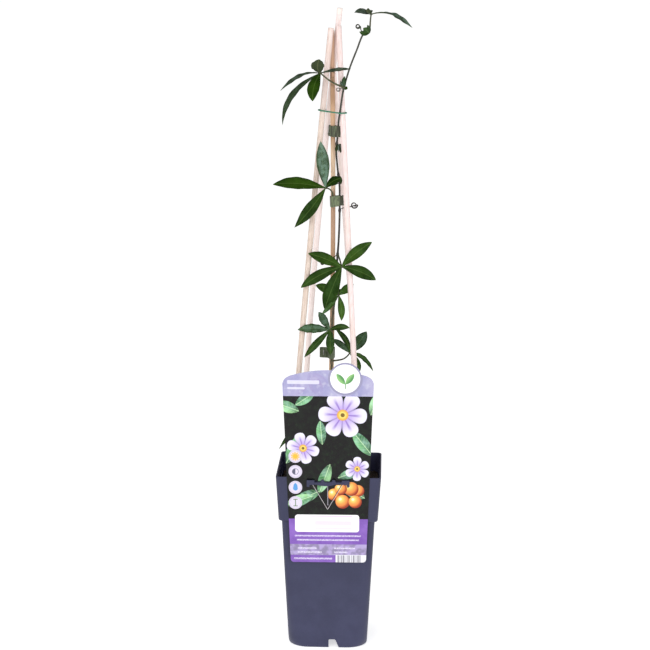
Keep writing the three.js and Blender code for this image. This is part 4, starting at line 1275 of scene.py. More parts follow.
def leaf_blades(name, leaflets, draw, blunt, inputs):
    """Blades from rows of (root, reach, width, facing, bow, tone, gloss and painted sheen).

    A facing of two vectors turns from the first to the second at the tip. blunt is 0 for leaflets
    with long points and 1 for round ones, and a row can end with its own.
    """
    facings = [row[3] if isinstance(row[3][0], tuple) else (row[3], row[3]) for row in leaflets]
    mesh = mesh_of(name, [place(*row[0]) for row in leaflets])
    for title, vectors, unit in (
            ("reach", [row[1] for row in leaflets], MM), ("facing", [a for a, _ in facings], 1),
            ("tip_facing", [b for _, b in facings], 1), ("bow", [row[4] for row in leaflets], MM)):
        put(mesh, title, [v * unit for vector in vectors for v in vector], vector=True)
    put(mesh, "wide", [row[2] * MM for row in leaflets])
    put(mesh, "tone", [row[5] for row in leaflets])
    put(mesh, "gloss_and_painted_sheen", [row[6] for row in leaflets])
    put(mesh, "blunt", [row[7] if len(row) > 7 else blunt for row in leaflets])
    for title, low, high in (("phase", 0, 1), ("wavy", 0.04, 0.1), ("twist", -0.12, 0.12)):
        put(mesh, title, [draw.uniform(low, high) for _ in leaflets])
    return run_tree(BLADES, name, mesh, inputs)


# %% [markdown]
# ## The eight leaves
#
# Each leaf has a thin stalk from the vine to a small swelling, from which five leaflets spread
# like fingers. The table below gives every stalk by its points and every leaflet by its tip, seen
# from that swelling, its width, the way its face looks, how fresh it is, and how glossy it is and
# how much painted sheen it carries. The leaves near the top of the vine have long points, and the
# older ones are rounder.

# %% The leaves' shapes
FRONT, SKY = (0, -1, 0.25), (0, -0.15, 1)
LEAVES = {
    # how blunt it is, the stalk, and for each leaflet: tip, width, facing, bow, tone, gloss and
    # painted sheen
    "leaf_1": (
        0, [(36.2, -15.4, 647.5), (37.6, -15, 651), (38, -14.4, 657), (38.7, -14, 664.2)],
        [((42.3, 5, -13.8), 8.6, ((0, 0.34, 1), (0.3, -0.9, 0.4)), (0, 0, 6.4), -0.5, 0.5),
         ((-16.6, -20, 1.6), 6.6, (0, -0.95, 0.4), (0, 0, 1.8), -0.9, 0.45, 0.3),
         ((-10.6, 26, 1), 7, SKY, (0, 0, 3), 0.0, 0.1),
         ((-3.4, -25, 5.6), 6.4, (0, -0.95, 0.4), (-2, 0, -0.6), -0.6, 0.0, 1.0),
         ((-4, 28, 1.5), 6.5, SKY, (0, 0, 2), 0.0, 0.1)]),
    "leaf_2": (
        0, [(12.4, -15, 590), (2.4, -22, 594.5), (-4.6, -25, 599), (-11.8, -27, 605)],
        [((-0.6, -24, 14.8), 13, (0, 0.5, 1), (-2.2, 0, -1.6), -0.6, 0.15, 1.0),
         ((-7, -17, -27.4), 12.5, (-0.1, -0.9, 0.45), (-2.4, -2.5, 1), 0.12, 0, 0.8),
         ((-40.8, -3, -18.3), 6.8, ((-0.4, -0.1, 1), (-0.4, -0.8, 0.6)), (0, 0, 6), -0.6, 0.3),
         ((-37.9, -8, -52.6), 10, (-0.7, -0.68, 0.5), (-8.5, 0, 4), -0.5, 0.2),
         ((31, 0, 4.4), 5.2, (0, -0.6, 0.8), (0, -1, 1), -0.9, 0.25, 0.5)]),
    "leaf_3": (
        0.1, [(7.9, -5.2, 474), (4.2, -7.2, 474.5), (1.4, -7.4, 476.5), (0.6, -7.6, 481),
              (-0.8, -12, 484.5), (-3, -20, 487), (-5.8, -28, 488.5)],
        [((-5.5, 2, 47.6), 12.8, (0.1, -0.9, 0.45), (0, -2, 0), 0.1, 0.9, 0.55),
         ((-53.9, -5, 3.5), 13.4, (0.1, -0.85, 0.5), (0, -1, 2.8), 0.1, 0, 0.55),
         ((-31.6, -6, -40.5), 12, FRONT, (1.5, -3, 0), 0.06, 0.05),
         ((15, 13, 8.5), 8.2, (0.2, -0.9, 0.4), (0, 0, 2.2), 0.0, 0.0, 0.8),
         ((13, 16, 3), 5, (0.2, -0.75, 0.6), (0, 0, 2), 0.0, 0.0)]),
    "leaf_4": (
        0.8, [(6.6, -5.8, 417), (9, -15, 413), (11.3, -26, 407)],
        [((31.2, -2, 26.3), 11.5, FRONT, (-1.5, 0, 1), 0.2, 0.05),
         ((35.6, -4, -12.9), 12, FRONT, (1, -1, 2), 0.08, 0.05),
         ((-17.2, 2, -45.5), 15, FRONT, (-1, -2, 0), 0.15, 0.05),
         ((-41.8, -6, -21.6), 11, FRONT, (-1, -1.5, 2.6), 0.06, 0.05),
         ((-34.5, -4, 14.1), 11.5, FRONT, (1, -1, 1.2), 0.2, 0.05)]),
    "leaf_5": (
        0.6, [(5.4, -6.3, 385), (7.2, -14, 381), (8.3, -21, 376.5)],
        [((15.4, 13, 9.6), 8.4, FRONT, (-0.5, 0, 0), 1.0, 0.2),
         ((3.2, -3, -26.7), 7, FRONT, (1.4, 0, 0), 0.35, 0.1),
         ((-16.8, -16, -17.8), 5, (-0.3, -0.9, 0.3), (0, -2, -1), 0.55, 0.3),
         ((-24, 7, 9), 9, FRONT, (0, 0, 1), 0.7, 0.1, 1.0),
         ((7, 16, 4), 6, SKY, (0, 0, 1.5), 0.0, 0.1)]),
    "leaf_6": (
        0.7, [(1.4, -6.2, 331), (0.8, -14, 334), (-0.3, -22, 340)],
        [((-11.8, -9, 20.2), 8.6, (0.2, -0.9, 0.35), (-0.8, 0, 1), 0.1, 0.6),
         ((-33.2, -14, 2), 10.4, (0, -0.8, 0.6), (0, 0, 1), 0.2, 0.6),
         ((-26.4, -9, -28.1), 7, FRONT, (0, -1, 1), 0.2, 0.1),
         ((1, -12, -24.6), 8.5, FRONT, (0, -1, 1), 0.2, 0.15),
         ((20.6, -9, 3.9), 6.5, FRONT, (0, -1, 2), 0.1, 0.1)]),
    "leaf_7": (
        0.8, [(1.2, -6.2, 303.8), (4.4, -6.4, 304.2), (8.6, -6.2, 304.8), (13.6, -5.4, 306),
              (17.6, -4.2, 308.8), (20.2, -3, 312)],
        [((17.4, 3, 22.7), 11.8, FRONT, (1, 0, 0), 0.0, 0.35),
         ((24.9, 2, -20), 6.6, (0.5, -0.6, 0.7), (1, 0, 4.5), 0.25, 0.15),
         ((11, -2, -19), 6.5, FRONT, (1.5, 0, 0.5), 0.2, 0.1),
         ((-15.6, 7, 24.4), 5.8, FRONT, (3.4, 0, 0.8), 0.1, 0.1),
         ((-18.4, 9, 12.6), 6.4, FRONT, (0.4, 0, 1), 0.1, 0.5, 1.0)]),
    "leaf_8": (
        0.3, [(2.6, -6.6, 240), (-6, -20, 246), (-16, -34, 250), (-22, -41, 250)],
        [((-30, -4, -33), 5.6, (-0.5, -0.8, 0.5), (-0.6, 0, 1.6), 0.1, 0.1),
         ((-24, 0, 6), 8, (0, -0.8, 0.6), (0, 0, 2), 0.15, 0.1),
         ((-8, -4, -34), 9, FRONT, (0, -1, 0), 0.15, 0.1),
         ((16, -3, -28), 8, FRONT, (1, -1, 1), 0.15, 0.1),
         ((-6, 0, 24), 8, FRONT, (0, -1, 0), 0.15, 0.1)]),
}

# %% Leaves
BEAD_RADIUS, BEAD_HALF, LEAF_SEED = 1.35, 6, 5
stalk_tree = rod_tree("leaf_stalks", LEAF_STALK, 12)
draw = random.Random(LEAF_SEED)
for name, (blunt, stalk, leaflets) in LEAVES.items():
    line = smooth_path(stalk, 14)
    radii = [1.0 - 0.25 * i / len(line) + 0.35 * max(0, 1 - i / 8) for i in range(len(line))]
    steps = [k / BEAD_HALF for k in range(-BEAD_HALF, BEAD_HALF + 1)]
    bead = ([Vector(stalk[-1]) + Vector((0, 0, BEAD_RADIUS * k)) for k in steps],
            [BEAD_RADIUS * math.sqrt(max(0.0, 1 - k**2)) + 0.02 for k in steps])
    stalk_piece = rods(stalk_tree, "stalk", (line, radii), bead)
    blades = leaf_blades("blades", [(stalk[-1],) + leaflet for leaflet in leaflets], draw, blunt,
                         {"Stations": 72, "Around": 41})
    settle(outward(joined("five_fingered_" + name, [stalk_piece, blades])), "leaf", name)

# %% [markdown]
# ## The vine
#
# The stem climbs beside the tan cane, with a swelling at every joint, and leans away over the
# top. Tendrils reach out from some joints and coil at their ends. All of it is one plant, so the
# rods are made together as one piece. The small young leaves on it are a second piece with the
# leaf's finish.

# %% Stem and tendrils
STEM_NODES = [240, 302.5, 331, 385, 417, 463, 500, 532, 590, 647.5]
NODE_SWELL, NODE_SPREAD = 0.62, 1.6
STEM_STEPS, COIL_STEPS, TENDRIL_STEPS = 420, 24, 90
TENDRILS = [
    # the points from the stem, the coil's centre and radius, its turns and its thickness
    ([(32, -16, 645), (29, -16.5, 647.5)], (25.6, -17, 652), 2.4, 1.35, 0.72),
    ([(12, -15, 590), (8, -18.5, 589)], (6.2, -19, 588.4), 2.2, 1.3, 0.42),
    ([(8.2, -5.2, 464), (13, -6.5, 466), (18, -8.5, 467)], (23.4, -11, 469.4), 3.5, 1.2, 0.75),
    ([(6.8, -5.8, 417), (0, -12, 413), (-6, -16, 410)], (-9, -17, 409.4), 1.7, 1.3, 0.75),
]

stem_points = spaced(STEM_LINE, STEM_STEPS)
stem_radii = [STEM_RADIUS * (1.15 - 0.35 * i / STEM_STEPS)
              + sum(NODE_SWELL * math.exp(-((p.z - node) / NODE_SPREAD) ** 2)
                    for node in STEM_NODES)
              + 0.03 * math.sin(i * 0.31) * math.cos(i * 0.17)
              for i, p in enumerate(stem_points)]
strands = [(stem_points, stem_radii)]
for route, (x, y, z), radius, turns, thickness in TENDRILS:
    coil = []
    for t in (i / COIL_STEPS for i in range(COIL_STEPS + 1)):
        angle, r = t * turns * math.tau, radius * (1 - 0.55 * t)
        coil.append((x + r * math.cos(angle), y - 1.8 * t, z - r * math.sin(angle)))
    # thin from the stem, thickest in the coil, thin again at its end
    girths = [thickness * (0.55 + 0.45 * math.sin(math.pi * (i / TENDRIL_STEPS) ** 1.4))
              for i in range(TENDRIL_STEPS + 1)]
    strands.append((spaced(smooth_path(route + coil, 6), TENDRIL_STEPS), girths))
stem = rods(rod_tree("stem_rods", VINE_BARK, 16), "vine_stem", *strands)
settle(outward(stem), "stem", "stem")

# %% Young leaves
YOUNG_LEAVES = [
    # root, reach, width, facing, bow, tone, gloss and painted sheen
    ((37.4, -16, 645.4), (-10.6, -1, 1.2), 5, FRONT, (0, -0.5, -1), 0.1, 0.1),
    ((37.4, -16, 645.2), (-2.4, -1.5, 8.6), 3.6, (0.1, -1, 0.1), (0.4, -0.8, 0), -0.3, 0.2),
    ((37.2, -16.4, 645.2), (-6.4, -2, 5.2), 5.4, FRONT, (0, -0.8, 0.2), 0.2, 0.3, 0.2),
    ((13, -15.2, 589.5), (-0.2, -2, 12.5), 4.6, (-0.2, -1, 0.2), (-1, 0, 0), -0.1, 0.3),
    ((12.4, -15, 590), (3.4, -1.5, -1), 3.6, FRONT, (0, 0, 0), -0.1, 0.0),
    ((12.2, -15, 590), (-3.8, -5, 7.5), 3, (0.5, -1, 0.3), (-1, 0, -0.6), -0.8, 0.8),
    ((6.4, -6.4, 531.6), (-1.8, -3, -8), 3, FRONT, (-0.8, 0, 0), -0.7, 0.0, 0.8),
    ((6.4, -6.6, 531.6), (0.6, -3.6, -8.4), 0.9, FRONT, (0, -0.4, 0), -1.0, 1.0, 0.8),
    ((6.6, -6.4, 531.6), (2.2, -3, -8.8), 2.4, FRONT, (0.6, 0, 0), -1.0, 0.0, 0.8),
    ((6.8, -6.6, 531.6), (3.8, -3.6, -7), 0.8, FRONT, (0.8, -0.4, 0.6), -1.0, 1.0, 0.8),
    ((6.8, -6.4, 531.6), (5, -3, -6), 3, FRONT, (1.2, 0, 1), -1.0, 0.0, 0.8),
    ((6.8, -5.2, 500), (2.4, -3, -10), 3, (0.5, -1, 0.2), (1, 0, 0), 0.05, 0.1),
]
young = leaf_blades("young_leaves", YOUNG_LEAVES, draw, 0.0,
                    {"Stations": 40, "Around": 25, "Vein spacing": 0.0016})
settle(outward(young), "leaf", "stem")

# %% [markdown]
# ## The picture card
#
# The card is a thin laminated sheet, arched at the top, with a round badge that stands above the
# arch. It hangs on the bar by a slot, and below the slot a slit between two creases lets two small
# flaps give way. Its outline is cut up into triangles with the creases as edges, so that the flaps
# can fold exactly there. The sheet is then leant forward, given its thickness, and bent a little.

# %% Card outline
CARD_FOOT, CARD_SHOULDER, CARD_CROWN = 97, 293, 306
CORNER_HALF, FOOT_HALF, SHOULDER_HALF, ARCH_HALF = 35.4, 39.55, 47, 39
SIDE_LOW, SIDE_HIGH = CARD_FOOT + 4, CARD_SHOULDER - 2
ARCH_FOOT, ARCH_PULL = CARD_SHOULDER + 6.8, 2 * CARD_CROWN - CARD_SHOULDER - 7
CARD_THICKNESS = 0.5
BADGE = (17.8, 297, 16.8)
SLOT_HALF, SLOT_TOP, SLOT_FOOT = 20.05, 186.35, 182.45
SLIT_FOOT, CREASE_APEX, CREASE_HALF = 160.4, (-0.7, 155.8), 15.3
CREASE_SLOPE = (SLOT_FOOT - CREASE_APEX[1]) / CREASE_HALF
PRINT_SPLITS = (130, 278)


def quadratic(start, pull, end, steps):
    return [((1 - t) ** 2 * start[0] + 2 * t * (1 - t) * pull[0] + t * t * end[0],
             (1 - t) ** 2 * start[1] + 2 * t * (1 - t) * pull[1] + t * t * end[1])
            for t in (i / steps for i in range(steps))]


def straight(start, end, steps):
    return [(start[0] + (end[0] - start[0]) * k / steps, start[1] + (end[1] - start[1]) * k / steps)
            for k in range(steps)]


card_outline = (
    quadratic((CORNER_HALF, CARD_FOOT), (39.4, CARD_FOOT), (FOOT_HALF, SIDE_LOW), 6)
    + straight((FOOT_HALF, SIDE_LOW), (SHOULDER_HALF, SIDE_HIGH), 40)
    + quadratic((SHOULDER_HALF, SIDE_HIGH), (46.5, CARD_SHOULDER + 4), (ARCH_HALF, ARCH_FOOT), 8)
    + quadratic((ARCH_HALF, ARCH_FOOT), (0, ARCH_PULL), (-ARCH_HALF, ARCH_FOOT), 40)
    + quadratic((-ARCH_HALF, ARCH_FOOT), (-46.5, CARD_SHOULDER + 4), (-SHOULDER_HALF, SIDE_HIGH), 8)
    + straight((-SHOULDER_HALF, SIDE_HIGH), (-FOOT_HALF, SIDE_LOW), 40)
    + quadratic((-FOOT_HALF, SIDE_LOW), (-39.4, CARD_FOOT), (-CORNER_HALF, CARD_FOOT), 6)
    + straight((-CORNER_HALF, CARD_FOOT), (CORNER_HALF, CARD_FOOT), 18)
)
opening = [(-SLOT_HALF, SLOT_FOOT), (-SLOT_HALF, SLOT_TOP), (SLOT_HALF, SLOT_TOP),
           (SLOT_HALF, SLOT_FOOT), (0.25, SLOT_FOOT), (0.15, SLIT_FOOT), (-0.15, SLIT_FOOT),
           (-0.25, SLOT_FOOT)]
creases = [(-CREASE_HALF, SLOT_FOOT), CREASE_APEX, (CREASE_HALF, SLOT_FOOT)]
print("card outline points:", len(card_outline))

# %% Flat card in triangles
def within(point, outline):
    """Whether a point is inside an outline, by counting the edges to its right."""
    x, z = point
    inside = False
    for (ax, az), (bx, bz) in zip(outline, outline[1:] + outline[:1]):
        if (az > z) != (bz > z) and x < (bx - ax) * (z - az) / (bz - az) + ax:
            inside = not inside
    return inside


def card_sheet():
    """The card's front as flat points (x, z) in millimetres, and its triangles."""
    points, edges = [], []
    splits = [([(-60, split), (60, split)], False) for split in PRINT_SPLITS]
    for chain, closed in ((card_outline, True), (circle(*BADGE, count=96), True), (opening, True),
                          (creases, False), *splits):
        first = len(points)
        points += chain
        edges += [(first + i, first + i + 1) for i in range(len(chain) - 1)]
        if closed:
            edges.append((first + len(chain) - 1, first))
    # loose points all over the sheet, so that it can bend
    for row in range(53):
        for column in range(25):
            point = (-48 + 4 * column + 2 * (row % 2), CARD_FOOT + 2 + 4 * row)
            if within(point, card_outline) and not within(point, opening):
                points.append(point)
    flat, _, faces, *_ = delaunay_2d_cdt([Vector(p) for p in points], edges, [], 0, 1e-4)
    kept = []
    for face in faces:
        middle = sum((flat[i] for i in face), Vector((0, 0))) / 3
        on_card = within(middle, card_outline) or (middle - Vector(BADGE[:2])).length < BADGE[2]
        if on_card and not within(middle, opening):
            kept.append(face)
    used = sorted({i for face in kept for i in face})
    index = {old: new for new, old in enumerate(used)}
    return [flat[i] for i in used], [tuple(index[i] for i in face) for face in kept]


# %% Hung card
CARD_LEAN, CARD_ROLL, CARD_OFF_POT = 0.062, 0.007, 0.05
HUNG_AT, HUNG_Y = 190, -55.35
CARD_BOW, FLAP_PUSH, FLAP_REACH = 0.8, 1.3, 24
FLAP_DRIFT = 0.7 / 27  # the creases' middle moves to the left as they go down


def flap_push(x, z):
    """How far the two flaps under the slot stand forward: none at their creases."""
    depth = (z - CREASE_APEX[1]) - CREASE_SLOPE * abs(x + FLAP_DRIFT * (SLOT_FOOT - z))
    return FLAP_PUSH * max(0.0, min(1.0, depth / FLAP_REACH)) if z < SLOT_FOOT + 0.1 else 0.0


def card_place(x, z, depth):
    """A point of the flat card, leant forward and hung on the pot. depth is off its back."""
    height, sin_roll, cos_roll = z - HUNG_AT, math.sin(CARD_ROLL), math.cos(CARD_ROLL)
    bow = (CARD_BOW * (1 - (x / SHOULDER_HALF) ** 2)
           * max(0.0, height / (CARD_CROWN - HUNG_AT)) ** 2)
    u, v = x * cos_roll - height * sin_roll, x * sin_roll + height * cos_roll
    forward = CARD_OFF_POT + depth + bow + flap_push(x, z)
    y = HUNG_Y - v * math.sin(CARD_LEAN) - forward * math.cos(CARD_LEAN)
    return place(u, y, HUNG_AT + v * math.cos(CARD_LEAN) - forward * math.sin(CARD_LEAN))


flat, triangles = card_sheet()
count = len(flat)
points = [card_place(p.x, p.y, depth) for depth in (CARD_THICKNESS, 0) for p in flat]
sides = {pair for a, b, c in triangles for pair in ((a, b), (b, c), (c, a))}
rim_edges = [(a, b) for face in triangles for a, b in zip(face, face[1:] + face[:1])
             if (b, a) not in sides]
faces = triangles + [tuple(i + count for i in face[::-1]) for face in triangles]
faces += [(b, a, a + count, b + count) for a, b in rim_edges]
card = outward(link(bpy.data.objects.new("picture_card", mesh_of("card", points, faces=faces))))
put(card.data, "sheet", [v for p in flat + flat for v in (p.x, p.y, 0.0)], vector=True)
put(card.data, "front", [1.0] * count + [0.0] * count)
print("card triangles:", len(triangles), "edge pieces:", len(rim_edges))

# %% [markdown]
# ## The card's print
#
# The print is drawn by the material. Each motif is a mask: a sum that is 1 inside a shape and 0
# outside, worked out from the place on the sheet in millimetres. Boxes, discs and petals are
# enough for a plain garden design: a lilac header, a dark garden picture with leaves, pale
# six-petalled blossoms and orange berries, and a purple foot with blank panels. Each of the three
# is a finish of its own, because one with all of their nodes is more than the renderer can take.

# %% Masks for the print
class Print:
    """Masks on the flat sheet, with soft edges a few tenths of a millimetre wide."""

    def __init__(self, net):
        self.net = net
        self.x, self.z, _ = net.parts(net.stored("sheet", "Vector"))
        self.at = net.vector(self.x, self.z, 0.0)
        self.washes = net.noise(self.at, 0.16, 5)

    def inside(self, distance, soft=0.25):
        return 1 - distance.ramp(-soft, soft)

    def box(self, left, right_end, foot, top, corner=0.5):
        qx = abs(self.x - (left + right_end) / 2) - ((right_end - left) / 2 - corner)
        qz = abs(self.z - (foot + top) / 2) - ((top - foot) / 2 - corner)
        ax, az = qx.at_least(0.0), qz.at_least(0.0)
        return self.inside((ax * ax + az * az) ** 0.5 + qx.at_least(qz).fn("MINIMUM", 0.0) - corner)

    def radius(self, x, z):
        dx, dz = self.x - x, self.z - z
        return (dx * dx + dz * dz) ** 0.5

    def disc(self, x, z, radius, soft=0.25):
        return self.inside(self.radius(x, z) - radius, soft)

    def leaf(self, x, z, length, width, angle):
        """A pointed leaf from a foot, towards an angle: the mask, and the place on the leaf."""
        c, s = math.cos(math.radians(angle)), math.sin(math.radians(angle))
        dx, dz = self.x - x, self.z - z
        along, off = (dx * c + dz * s) / length, dz * c - dx * s
        swell = (along * (1 - along) * 4).at_least(0.0) ** 0.8
        mask = self.inside(abs(off) - swell * (width / 2), 0.3)
        return mask * along.fn("GREATER_THAN", 0.0) * along.fn("LESS_THAN", 1.0), off, along

    def petals(self, x, z, radius, count, turn):
        """The petals of a round flower: the mask, and how far a point is from a petal's middle."""
        angle = (self.z - z).fn("ARCTAN2", self.x - x) + (turn + 10)
        fold = (angle * (count / math.tau)).fn("FRACT") - 0.5
        r = self.radius(x, z) / radius
        edge = (1 - abs(fold * 2) ** 2.6).at_least(0.0) ** 0.5 * 0.62 + 0.38
        return self.inside((r - edge) * radius, 0.3), fold, r

    def purple_ground(self):
        clouds = self.net.noise(self.at, 0.05, 4)
        return self.net.mix(clouds.ramp(0.35, 0.65), (122, 85, 171), (138, 101, 187))


# %% Header print
FROSTED_LEAVES = ((-40, 279, 26, 12, 38), (-6, 277, 30, 13, 118), (16, 277, 32, 12, 52),
                  (-20, 302, 24, 10, -30))


def header_print(net, art):
    """The arched head of the card: washed lilac, two plain bars and the round badge."""
    sheet = net.mix(net.noise(art.at, 0.05, 4).ramp(0.35, 0.65), (150, 148, 188), (172, 168, 200))
    sheet = net.mix(art.washes.ramp(0.5, 0.7) * 0.6, sheet, (190, 190, 208))
    # very faint leaves, as if seen through frosted film
    for x, z, length, width, angle in FROSTED_LEAVES:
        mask, off, _ = art.leaf(x, z, length, width, angle)
        faint = mask * (0.25 + 0.5 * abs(off).ramp(width * 0.2, width * 0.5))
        sheet = net.mix(faint * 0.55, sheet, (150, 130, 178))
    x, z, radius = BADGE
    sheet = net.coats(sheet, (art.box(-42, -9, 291, 295, 1.0) * 0.7, (226, 224, 238)),
                      (art.box(-42, -24, 285.4, 287.6, 1.0) * 0.7, (226, 224, 238)),
                      (art.disc(x, z, radius + 1), (146, 143, 172)),
                      (art.disc(x - 0.2, z - 0.3, radius - 1.5), (252, 252, 252)))
    for angle, shift in ((52, 0.4), (128, -0.4)):
        mask, off, _ = art.leaf(x + shift, z - 6, 14, 6, angle)
        sheet = net.mix(mask, sheet, net.mix(off.ramp(-2.0, 2.0), (84, 142, 84), (140, 188, 120)))
    return net.mix(art.box(x - 0.5, x + 0.5, z - 11, z - 5, 0.3), sheet, (84, 142, 84))


# %% Leaves, berries and blossoms of the picture
LEAF_GREENS = (((48, 104, 62), (112, 176, 116)), ((70, 132, 76), (156, 208, 144)))
PICTURE_LEAVES = (
    (-44, 205, 38, 13, 62, 0), (-30, 262, 26, 12, 160, 1), (2, 205, 34, 12, 250, 1),
    (46, 214, 34, 13, 128, 0), (44, 258, 26, 11, 70, 1), (-6, 226, 26, 10, 95, 0),
    (38, 168, 30, 12, 150, 1), (-8, 176, 32, 12, 205, 0), (-44, 160, 30, 12, 20, 1),
    (10, 190, 26, 10, 20, 0), (-14, 282, 24, 10, 215, 0))
BERRIES = ((31, 176, 6.4), (6, 172, 6.6), (15, 164, 7.4), (24, 178, 7.6), (13, 178, 6.4),
           (28, 164, 6.8))
BLOSSOMS = ((30, 200, 13, 0.5), (-26, 222, 17, 0.2), (15, 258, 25, 0.0))


def picture_leaf(net, art, picture, x, z, length, width, angle, tone):
    mask, off, along = art.leaf(x, z, length, width, angle)
    # each leaf throws a soft shadow on what lies under it
    cast, _, _ = art.leaf(x + 0.8, z - 1.4, length, width, angle)
    veins = ((along * 9 - abs(off) * 0.22) * math.tau).fn("SINE")
    green = net.coats(net.mix(off.ramp(-width * 0.2, width * 0.35), *LEAF_GREENS[tone]),
                      (art.washes.ramp(0.3, 0.7) * 0.4, (186, 226, 214)),
                      ((1 - along.ramp(0.0, 0.5)) * 0.7, (24, 52, 30)),
                      (veins.ramp(0.8, 1.0) * 0.3, (190, 224, 176)),
                      (1 - abs(off).ramp(0.1, 0.5), (190, 224, 176)))
    return net.coats(picture, (cast * 0.7, (8, 10, 8)), (mask, green))


def picture_berry(net, art, picture, x, z, radius):
    lit = art.radius(x - radius * 0.3, z + radius * 0.35) / radius
    berry = net.coats(net.mix(lit.ramp(0.1, 0.8), (252, 214, 112), (244, 150, 76)),
                      (lit.ramp(0.7, 1.35), (150, 52, 34)))
    glint = art.disc(x - radius * 0.35, z + radius * 0.4, radius * 0.2, 0.5)
    return net.coats(picture, (art.disc(x, z, radius), berry), (glint, (255, 236, 200)))


def picture_blossom(net, art, picture, x, z, radius, turn):
    mask, fold, r = art.petals(x, z, radius, 6, turn)
    streak = (1 - abs(fold).ramp(0.02, 0.14)) * (1 - r.ramp(0.5, 0.85))
    petal = net.coats(net.mix(r.ramp(0.1, 0.95), (176, 150, 214), (226, 222, 240)),
                      (streak * 0.7, (120, 84, 178)),
                      (abs(fold).ramp(0.36, 0.5) * 0.6, (126, 108, 168)))
    heart = net.mix(r.ramp(0.05, 0.24), (250, 226, 120), (214, 160, 70))
    return net.coats(picture, (mask, petal), (art.disc(x, z, radius * 0.24), heart),
                     (art.disc(x, z, radius * 0.09), (120, 96, 44)))


# %% Picture print
SIGN_X, SIGN_LEVELS = -34.1, (213.2, 196.6, 179.4, 162.7)


def sign_marks(art, x, levels):
    """What the four care signs show, and its ink: a sun, half shade, a drop and a height mark."""
    sun_z, shade_z, drop_z, height_z = levels
    sun = art.disc(x, sun_z, 2.6).at_least(art.petals(x, sun_z, 4.8, 10, 0)[0] * 0.8)
    whole = art.disc(x, shade_z, 3.4)
    half = (whole * art.x.fn("LESS_THAN", x)).at_least(whole * (1 - art.disc(x, shade_z, 2.9)))
    drop = art.disc(x, drop_z - 1, 2.5).at_least(art.leaf(x, drop_z - 3.2, 8, 4.4, 90)[0])
    mark = art.box(x - 0.4, x + 0.4, height_z - 4, height_z + 4, 0.2)
    for z in (height_z - 3.6, height_z + 3.6):
        mark = mark.at_least(art.box(x - 2.2, x + 2.2, z - 0.4, z + 0.4, 0.2))
    return ((sun, (240, 180, 60)), (half, (90, 90, 110)), (drop, (90, 150, 210)),
            (mark, (90, 120, 80)))


def picture_print(net, art):
    """The garden picture with its care signs, the blank panel below it, and the creases with
    painted shade.
    """
    x, z = art.x, art.z
    picture = net.coats(net.mix(art.washes.ramp(0.4, 0.75), (8, 5, 7), (16, 26, 16)),
                        (net.noise(art.at, 0.35, 4).ramp(0.56, 0.72) * 0.4, (36, 60, 32)))
    for draw_one, rows in ((picture_leaf, PICTURE_LEAVES), (picture_berry, BERRIES),
                           (picture_blossom, BLOSSOMS)):
        for row in rows:
            picture = draw_one(net, art, picture, *row)
    sheet = net.mix(z.ramp(144.7, 145.3), art.purple_ground(), picture)
    for sign_z in SIGN_LEVELS:
        ring = art.disc(SIGN_X, sign_z, 6.2) * (1 - art.disc(SIGN_X, sign_z, 5.7))
        sheet = net.coats(sheet, (art.disc(SIGN_X, sign_z, 7), (214, 206, 224)),
                          (ring * 0.5, (150, 140, 170)))
    # the creases are drawn white outside with painted shade inside, and the slit's edges are drawn
    # grey
    off_crease = (abs(x - CREASE_APEX[0]) * CREASE_SLOPE - (z - CREASE_APEX[1])) / CREASE_SLOPE
    below_slot = (1 - z.ramp(SLOT_FOOT, SLOT_FOOT + 0.3)) * z.ramp(155.2, 156.0)
    painted_crease_shade = (1 - abs(off_crease + 0.5).ramp(0.3, 0.8)) * below_slot
    crease = (1 - abs(off_crease - 0.2).ramp(0.1, 0.4)) * below_slot
    slit = (1 - abs(x + 0.35).ramp(0.35, 0.75)) * (
        z.between(SLIT_FOOT - 0.6, SLIT_FOOT, SLOT_FOOT - 0.05, SLOT_FOOT + 0.15))
    return net.coats(sheet, *sign_marks(art, SIGN_X, SIGN_LEVELS),
                     (art.box(-34.7, 32.2, 130.6, 149.6, 3), (250, 249, 251)),
                     (art.box(-29.5, 24.7, 147.7, 148.3, 0.2), (214, 120, 190)),
                     (art.box(-14, 24, 138.2, 142.8, 0.8) * 0.8, (216, 204, 222)),
                     (art.box(-14, 24, 133.8, 135.4, 0.8) * 0.8, (216, 204, 222)),
                     (painted_crease_shade * 0.9, (26, 20, 22)), (crease * 0.75, (226, 220, 222)),
                     (slit * 0.8, (166, 162, 172)))


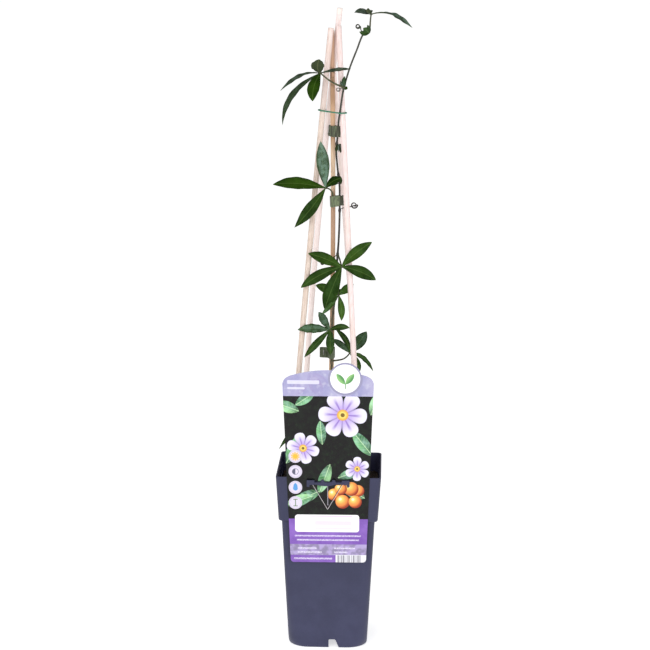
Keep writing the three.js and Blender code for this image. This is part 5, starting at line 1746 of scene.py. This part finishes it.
# %% Foot print and card finishes
DASH_ROWS = ((-35, 34, 125.5, 127.1), (-33, 32, 120.9, 122.5), (-32, -12, 111.8, 113.4),
             (-32, -7, 107.4, 109.0), (6, 28, 111.8, 113.4), (6, 20, 107.4, 109.0),
             (-36, 4, 100.2, 102.0))
PLAIN_STOCK = (244, 243, 240)


def foot_print(net, art):
    """The purple foot of the card, with a pale band, rows of dashes and a plain striped patch."""
    x, z = art.x, art.z
    pale = net.mix(art.washes.ramp(0.38, 0.62), (138, 128, 160), (172, 158, 202))
    sheet = net.mix(z.between(104.7, 105.3, 116.7, 117.3), art.purple_ground(), pale)
    # rows of broken dashes, as dense as fine print, that say nothing
    dashes = net.noise(net.vector(x * 0.9, z * 2.0, 0.0), 1.0).ramp(0.4, 0.52)
    for row in DASH_ROWS:
        sheet = net.mix(art.box(*row, 0.3) * dashes * 0.85, sheet, (230, 224, 242))
    stripes = net.noise(net.vector(x * 0.85, 0.0, 0.0), 1.0, 3).ramp(0.47, 0.53)
    stripes = stripes * art.box(9.6, 34, 90, 104.8, 0.2)
    patch = net.mix(stripes * 0.8, (226, 226, 232), (86, 80, 100))
    return net.mix(art.box(7.6, 42, 90, 105.3, 0.4), sheet, patch)


def laminated(name, print_of):
    """A glossy card finish. print_of draws the front from the place on the flat sheet."""
    def paint(net):
        art, front = Print(net), net.stored("front")
        wear = net.noise(art.at, 1.4, 3)
        return (net.mix(front, PLAIN_STOCK, print_of(net, art)), 0.3 + 0.14 * wear - 0.1 * front,
                net.bump(wear, 0.00004))
    return finish(name, paint, Specular_IOR_Level=0.25)


for title, print_of in (("card_foot", foot_print), ("card_picture", picture_print),
                        ("card_header", header_print)):
    card.data.materials.append(laminated(title, print_of))
for polygon in card.data.polygons:
    level = sum(flat[i % count].y for i in polygon.vertices) / len(polygon.vertices)
    polygon.material_index = sum(level > split for split in PRINT_SPLITS)
settle(card, "card", "label_card")

# %% [markdown]
# ## Measuring
#
# The boxes of the dressed model and of the imported one are printed side by side. The
# dressed model has to stay as large as the imported one.

# %% Boxes and finish
boxes = {"cad": CAD_BOX, "visual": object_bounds()}
for name, (low, high) in boxes.items():
    print(name, [round(v, 4) for v in low], [round(v, 4) for v in high])
